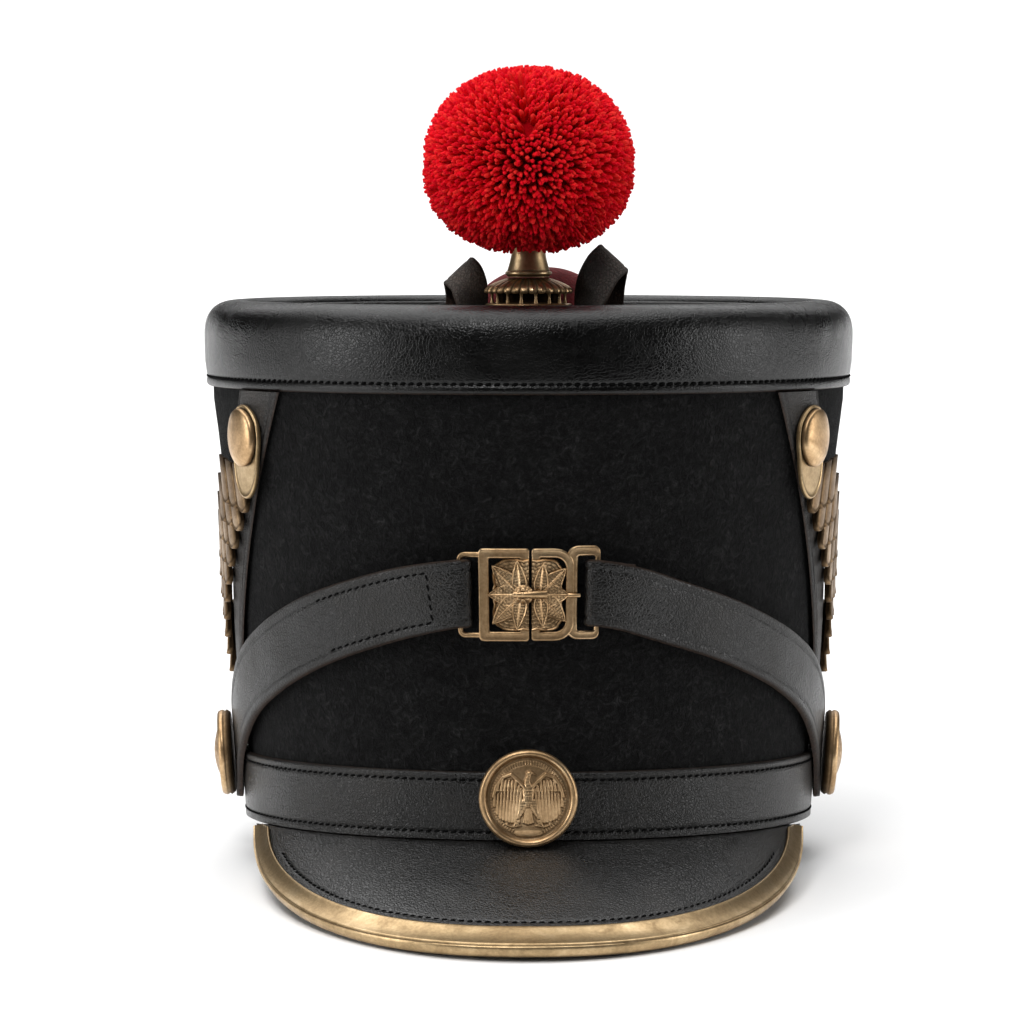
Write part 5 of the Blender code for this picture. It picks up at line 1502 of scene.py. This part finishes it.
def pompom_core(centre):
    """The ball under the yarn and the stem that stands in the socket, both dark with painted shade."""
    bow = [(HEART_SHARE * sin(a), -HEART_SHARE * cos(a)) for a in np.linspace(0.15, pi - 0.15, 16)]
    # depth: the core ball has full painted shade and the stem nearly full
    points, faces, marks = turned_body([(0, -HEART_SHARE), *bow, (0, HEART_SHARE)], 40, depth=1.0)
    points = points * np.array([POMPOM_HALF_WIDTH, POMPOM_HALF_WIDTH, POMPOM_HALF_HEIGHT])
    low, high, radius = SOCKET_BOTTOM + 2 * MM, SOCKET_TOP + 14 * MM, 3.2 * MM
    stem = turned_body([(0.0, low), (radius, low), (radius, high), (0.0, high)], 24, depth=0.9)
    return [moved((points, faces, marks), centre), moved(stem, (0, TOP_Y, 0))]


def build_pompom():
    """A ball of cut yarn: blunt three-ply strands that run out from a core and part at the upper front."""
    rng = np.random.default_rng(12)
    ways = unit(directions(STRANDS) + rng.normal(0, STRAND_SCATTER, (STRANDS, 3)))
    nearest, distance = cleft_place(ways)
    parted = bump(distance, CLEFT_WIDTH)[:, None]
    pushed = ways - nearest
    pushed /= np.maximum(np.linalg.norm(pushed, axis=1), 1e-6)[:, None]
    tips = unit(ways + pushed * (CLEFT_PUSH * parted))
    reach = pompom_reach(tips) - rng.uniform(*STRAND_UNEVEN, STRANDS) * MM - CLEFT_DEPTH * parted[:, 0]
    base = (1 - parted) * ways * CORE_SHARE + parted * nearest * CLEFT_CORE_SHARE
    base = base * pompom_reach(ways)[:, None]
    end = tips * reach[:, None]
    beside = np.hypot(end[:, 0], end[:, 1]) < SOCKET_CLEAR
    end[beside, 2] = np.maximum(end[beside, 2], SOCKET_TOP + SOCKET_RISE - POMPOM_HEIGHT)
    side = unit(np.cross(tips, np.array([0.31, 0.17, 0.94])))
    other = np.cross(tips, side)
    bend = rng.normal(0, STRAND_BEND, (STRANDS, 2))
    middle = (base + end) / 2 + bend[:, :1] * side + bend[:, 1:] * other
    t, sizes, core_shade = np.array(STRAND_SECTIONS).T[..., None]
    angle = np.linspace(0, 2 * pi, 5, endpoint=False)
    twist = rng.uniform(0, 2 * pi, STRANDS)
    girth = YARN_RADIUS * rng.uniform(*STRAND_GIRTHS, STRANDS)
    tone = rng.uniform(0, 1, STRANDS)
    centre = np.array([0.0, TOP_Y, POMPOM_HEIGHT])
    upper, lower = [], []
    for k in range(STRANDS):
        spine = (1 - t) ** 2 * base[k] + 2 * t * (1 - t) * middle[k] + t**2 * end[k]
        plied = 1 + PLY_DEPTH * np.cos(3 * angle + twist[k] + 5 * t)
        across = np.cos(angle)[:, None] * side[k] + np.sin(angle)[:, None] * other[k]
        sections = spine[:, None] + (girth[k] * sizes * plied)[..., None] * across
        # depth: painted shade, darker towards the core
        strand = swept(sections + centre, tone=tone[k], depth=core_shade)
        (upper if ways[k, 2] > 0 else lower).append(strand)
    piece("pompom_yarn_upper", upper, RED_WOOL, "red_wool", "pompom", sharp=80)
    piece("pompom_yarn_lower", lower + pompom_core(centre), RED_WOOL, "red_wool", "pompom", sharp=80)


# ---------------------------------------------------------------- socket, pad and bows


SOCKET_PROFILE = (
    # half-width and height in mm: the bore, then the outside from its mouth down
    (0.0, 1.0), (4.6, 1.0), (4.7, 6.0), (4.75, 9.9), (5.1, 10.1), (5.45, 10.2), (5.6, 10.0), (5.55, 9.4),
    (5.62, 8.4), (5.78, 7.2), (6.0, 6.0), (6.28, 4.8), (6.6, 3.6), (6.9, 2.6), (7.05, 2.2), (7.1, 1.95),
    (7.45, 1.85), (7.7, 1.6), (7.75, 1.25), (7.65, 0.9), (7.4, 0.65), (7.1, 0.55), (6.95, 0.3), (6.9, 0.0),
    (0.0, 0.0),
)
# painted shade with tarnish at each point of the profile: in the bore, in the crease above the bead and under
# the bead
SOCKET_DARK = (*[0.8] * 3, *[0.0] * 10, 0.8, 0.35, 0.0, 0.0, 0.0, 0.3, 0.7, 0.9, 0.9, 0.0)


def build_socket():
    """The flared brass tube that holds the pompom, with a bead round its foot."""
    profile = np.array(SOCKET_PROFILE) + np.array([0.0, SOCKET_BOTTOM / MM])
    body = turned_body(profile * MM, 120, dark=SOCKET_DARK)
    piece("pompom_socket_brass", [moved(body, (0, TOP_Y, 0))], BRASS, "brass", "pompom_socket")


FOOT_PETALS = 30
FOOT_PROFILE = (
    # share of the half-width, height below the top in mm, how much the petals shape it, painted shade
    (0.30, 0.0, 0.0, 0.0), (0.48, 0.0, 0.0, 0.0), (0.53, -0.2, 0.3, 0.0), (0.59, -0.5, 0.8, 0.0),
    (0.67, -0.9, 1.0, 0.0), (0.76, -1.4, 1.0, 0.0), (0.85, -2.0, 1.0, 0.0), (0.92, -2.6, 1.0, 0.0),
    (0.97, -3.2, 1.0, 0.0), (1.0, -3.9, 1.0, 0.0), (1.0, -4.5, 1.0, 0.0), (0.97, -4.9, 0.9, 0.3),
    (0.90, -4.9, 0.6, 0.8), (0.80, -4.7, 0.2, 1.0), (0.72, -4.6, 0.0, 1.0), (0.70, -5.2, 0.0, 1.0),
    (0.69, -6.6, 0.0, 1.0), (0.70, -8.0, 0.0, 1.0), (0.84, -8.3, 0.0, 0.6), (0.96, -8.4, 0.0, 0.2),
    (1.0, -8.7, 0.0, 0.0), (1.01, -9.2, 0.0, 0.0),
)
POSTS = 16
POST_PROFILE = ((0.0, -8.5), (0.75, -8.5), (0.62, -7.6), (0.42, -6.6), (0.50, -5.6), (0.8, -4.8), (0.0, -4.7))


def build_foot():
    """The oval foot: petals that hang from its collar over a gallery of small posts on a plate."""
    half, top, bottom = FOOT_HALF_WIDTH / MM, (SOCKET_BOTTOM - GAP) / MM, (DISC_TOP + GAP) / MM
    angle = circle(432)
    share, drop, shape, flat_dark = np.array(FOOT_PROFILE).T
    fold = np.abs(np.sin(FOOT_PETALS / 2 * angle))
    ridge_line = fold**0.55
    vein = bump(np.mod(FOOT_PETALS * angle / (2 * pi), 1.0) - 0.5, 0.10)
    radius = half * share * (1 + shape * (0.035 * (ridge_line - 0.6) + 0.012 * vein))
    height = np.maximum(top + drop - shape * 0.40 * (ridge_line - 0.4) * (-drop / 5.3), bottom)
    radius = side_by_side(radius, half * np.array([1.01, 0.99, 0.5]))
    height = side_by_side(height, [bottom + 0.4, bottom, bottom])
    # painted shade with tarnish between the petals, under the collar and on the plate
    petal_dark = np.clip(shape * (1.15 - 1.35 * fold), 0, 1) * 0.9
    dark = side_by_side(np.maximum(petal_dark, flat_dark), [0.3, 0.7, 0.9])
    x, y = radius * np.sin(angle), -radius * np.cos(angle) * FOOT_DEPTH_SHARE
    rings = np.stack([x * MM, y * MM + TOP_Y, height * MM], axis=-1)
    ends = [np.array([0, TOP_Y, value * MM]) for value in (top, bottom)]
    bodies = [capped_rings(rings, *ends, dark=dark)]
    # the posts under the collar get a little painted shade
    post = turned_body((np.array(POST_PROFILE) + np.array([0.0, top])) * MM, 14, dark=0.25)
    for k in range(POSTS):
        turn = 2 * pi * (k + 0.5) / POSTS
        x, y = 0.86 * half * sin(turn), -0.86 * half * cos(turn) * FOOT_DEPTH_SHARE
        bodies.append(moved(post, (x * MM, y * MM + TOP_Y, 0)))
    piece("socket_foot_brass", bodies, OLD_BRASS, "brass", "socket_foot")


def build_pad():
    """The red cloth dome behind the socket, slightly lumpy, with a turned-under hem."""
    profile = [(0.0, RED_PAD_RISE)]
    for a in np.linspace(0.0, pi / 2, 34)[1:-1]:
        profile.append((RED_PAD_HALF_WIDTH * sin(a), RED_PAD_RISE * cos(a) ** 1.1))
    profile += [(RED_PAD_HALF_WIDTH, 0.6 * MM), (RED_PAD_HALF_WIDTH - 0.8 * MM, 0.0)]
    profile += [(RED_PAD_HALF_WIDTH * 0.5, 0.0), (0.0, 0.0)]
    points, faces, marks = turned_body(profile, 160, RED_PAD_DEPTH_SHARE)
    points[:, 2] += 0.45 * MM * rough(points, 9 * MM, 1.0) * smooth_step(points[:, 2] / (3 * MM))
    body = moved((points, faces, marks), (*RED_PAD_CENTRE, DISC_TOP + GAP))
    pad = piece("red_pad_cloth", [body], RED_CLOTH, "red_cloth", "red_pad")


def build_bow(word, side):
    """A leather strip that stands on the crown, folds over and comes down behind; its flesh side is brown."""
    route = np.array(LEFT_BOW_ROUTE if side < 0 else BOW_ROUTE)
    x, y, z, roll, yaw = spline(route, np.linspace(0, 1, 90)).T
    spine = np.stack([x, y + TOP_Y / MM, z], axis=-1) * MM
    roll, yaw = np.radians(roll), np.radians(yaw)
    across = np.stack([np.cos(roll) * np.cos(yaw), np.sin(yaw), -np.sin(roll)], axis=-1)
    inward = unit(np.cross(np.gradient(spine, axis=0), across))[:, None]
    columns = np.linspace(-0.5, 0.5, 26)

    def strip(columns, depth):
        return spine[:, None] + (columns * BOW_WIDTH)[:, None] * across[:, None] + depth * inward

    inside = (0.5 - np.abs(columns)) * BOW_WIDTH
    depth = BOW_THICKNESS * 0.35 * (1 - rounded_edge(inside, 0.6 * MM))
    depth += 0.16 * MM * bump(inside - 2.0 * MM, 0.6 * MM)
    face = strip(columns, depth[:, None])
    face -= (0.12 * MM * rough(face, 6 * MM, 3.0))[..., None] * inward
    sections, edge = backed(face, strip(columns[::-3], BOW_THICKNESS), np.zeros(len(columns)), 1.0)
    edge[:, [0, len(columns) - 1]] = 0.7
    body = swept(on_this_side(sections, side), edge=edge)
    piece(f"bow_{word}_leather", [body], BOW_LEATHER, "leather", f"bow_{word}")


# ---------------------------------------------------------------- floor, light and camera


WORLD_LIGHT = 0.05
SUN_WIDTH = radians(75)
SUN_TURN = (radians(-12), radians(-6), 0.0)
SUN_LIGHT = 3.5
FLOOR_HALF_WIDTH = 2.2
FLOOR_FRONT = -0.42
FLOOR_BACK = 4.2
LAMP_TARGET = (0.0, 0.0, 0.13)
LAMPS = (
    # name, place in m, width and height in m, power in W
    ("left_low", (-1.50, -0.60, 0.35), (0.5, 0.6), 5.4),
    ("left_side", (-1.60, -0.35, 0.60), (0.6, 1.1), 4.0),
    ("right_low", (1.50, -0.30, 0.35), (0.5, 0.6), 5.8),
    ("right_side", (1.60, 0.15, 0.60), (0.6, 1.1), 2.0),
    ("front_high", (-0.50, -1.40, 1.80), (0.6, 0.4), 14.0),
    ("back", (0.00, 1.70, 0.95), (2.2, 0.7), 7.0),
)


def build_floor():
    mesh = bpy.data.meshes.new("floor")
    left, right = -FLOOR_HALF_WIDTH, FLOOR_HALF_WIDTH
    corners = [(left, FLOOR_FRONT, 0), (right, FLOOR_FRONT, 0), (right, FLOOR_BACK, 0), (left, FLOOR_BACK, 0)]
    mesh.from_pydata(corners, [], [(0, 1, 2, 3)])
    material, tree, shader = new_nodes("floor_look")
    place = place_node(tree)
    colour = ramp_node(tree, noise_node(tree, place, 3.0, 2.0), (0.3, grey(0.92)), (0.7, grey(0.94)))
    fill(tree, shader, {"Base Color": colour, "Roughness": 0.7})
    mesh.materials.append(material)
    floor = placed("floor", mesh)


def add_lamp(name, place, size, power):
    data = bpy.data.lights.new(name, "AREA")
    data.shape = "RECTANGLE"
    data.size, data.size_y = size
    data.energy = power
    looks_at(placed(name, data), place, LAMP_TARGET)


def build_light():
    """A white studio: the world looks white and lights dimly, a wide sun keeps the floor evenly pale."""
    world = bpy.data.worlds.new("studio")
    world.use_nodes = True
    tree = world.node_tree
    dim = tree.nodes["Background"]
    fill(tree, dim, {"Color": rgba(grey(1.0)), "Strength": WORLD_LIGHT})
    white = node(tree, "ShaderNodeBackground", {"Color": rgba(grey(1.0)), "Strength": 1.0})
    seen = node(tree, "ShaderNodeLightPath").outputs["Is Camera Ray"]
    both = node(tree, "ShaderNodeMixShader", {0: seen, 1: dim.outputs[0], 2: white.outputs[0]})
    fill(tree, tree.nodes["World Output"], {"Surface": both.outputs[0]})
    bpy.context.scene.world = world
    bpy.context.scene.view_settings.view_transform = "Standard"
    sun = bpy.data.lights.new("sun", "SUN")
    sun.energy = SUN_LIGHT
    sun.angle = SUN_WIDTH
    lamp = placed("sun", sun)
    lamp.location = (0.0, 0.0, 3.0)
    lamp.rotation_euler = SUN_TURN
    for row in LAMPS:
        add_lamp(*row)


CAMERA_PLACE = Vector((0.0, -2350.0, 215.6)) * MM
CAMERA_TARGET = Vector((-5.6, 0.0, 102.2)) * MM
CAMERA_ANGLE = 2 * atan(512 / 6900)


def build_camera():
    data = bpy.data.cameras.new("camera")
    data.sensor_fit = "HORIZONTAL"
    data.angle = CAMERA_ANGLE
    data.clip_start, data.clip_end = 0.1, 100.0
    camera = placed("camera", data)
    looks_at(camera, STAND @ CAMERA_PLACE, STAND @ CAMERA_TARGET)
    bpy.context.scene.camera = camera


# ---------------------------------------------------------------- assembly


build_camera()
build_light()
build_floor()
build_felt()
build_rim()
build_disc()
build_band()
build_peak()
build_trim()
for word, side in SIDES:
    build_strap(word, side)
    build_chevron(word, side)
    build_chain(word, side)
    build_boss(word, side)
    build_bow(word, side)
build_buckle()
build_buttons()
build_pompom()
build_socket()
build_foot()
build_pad()
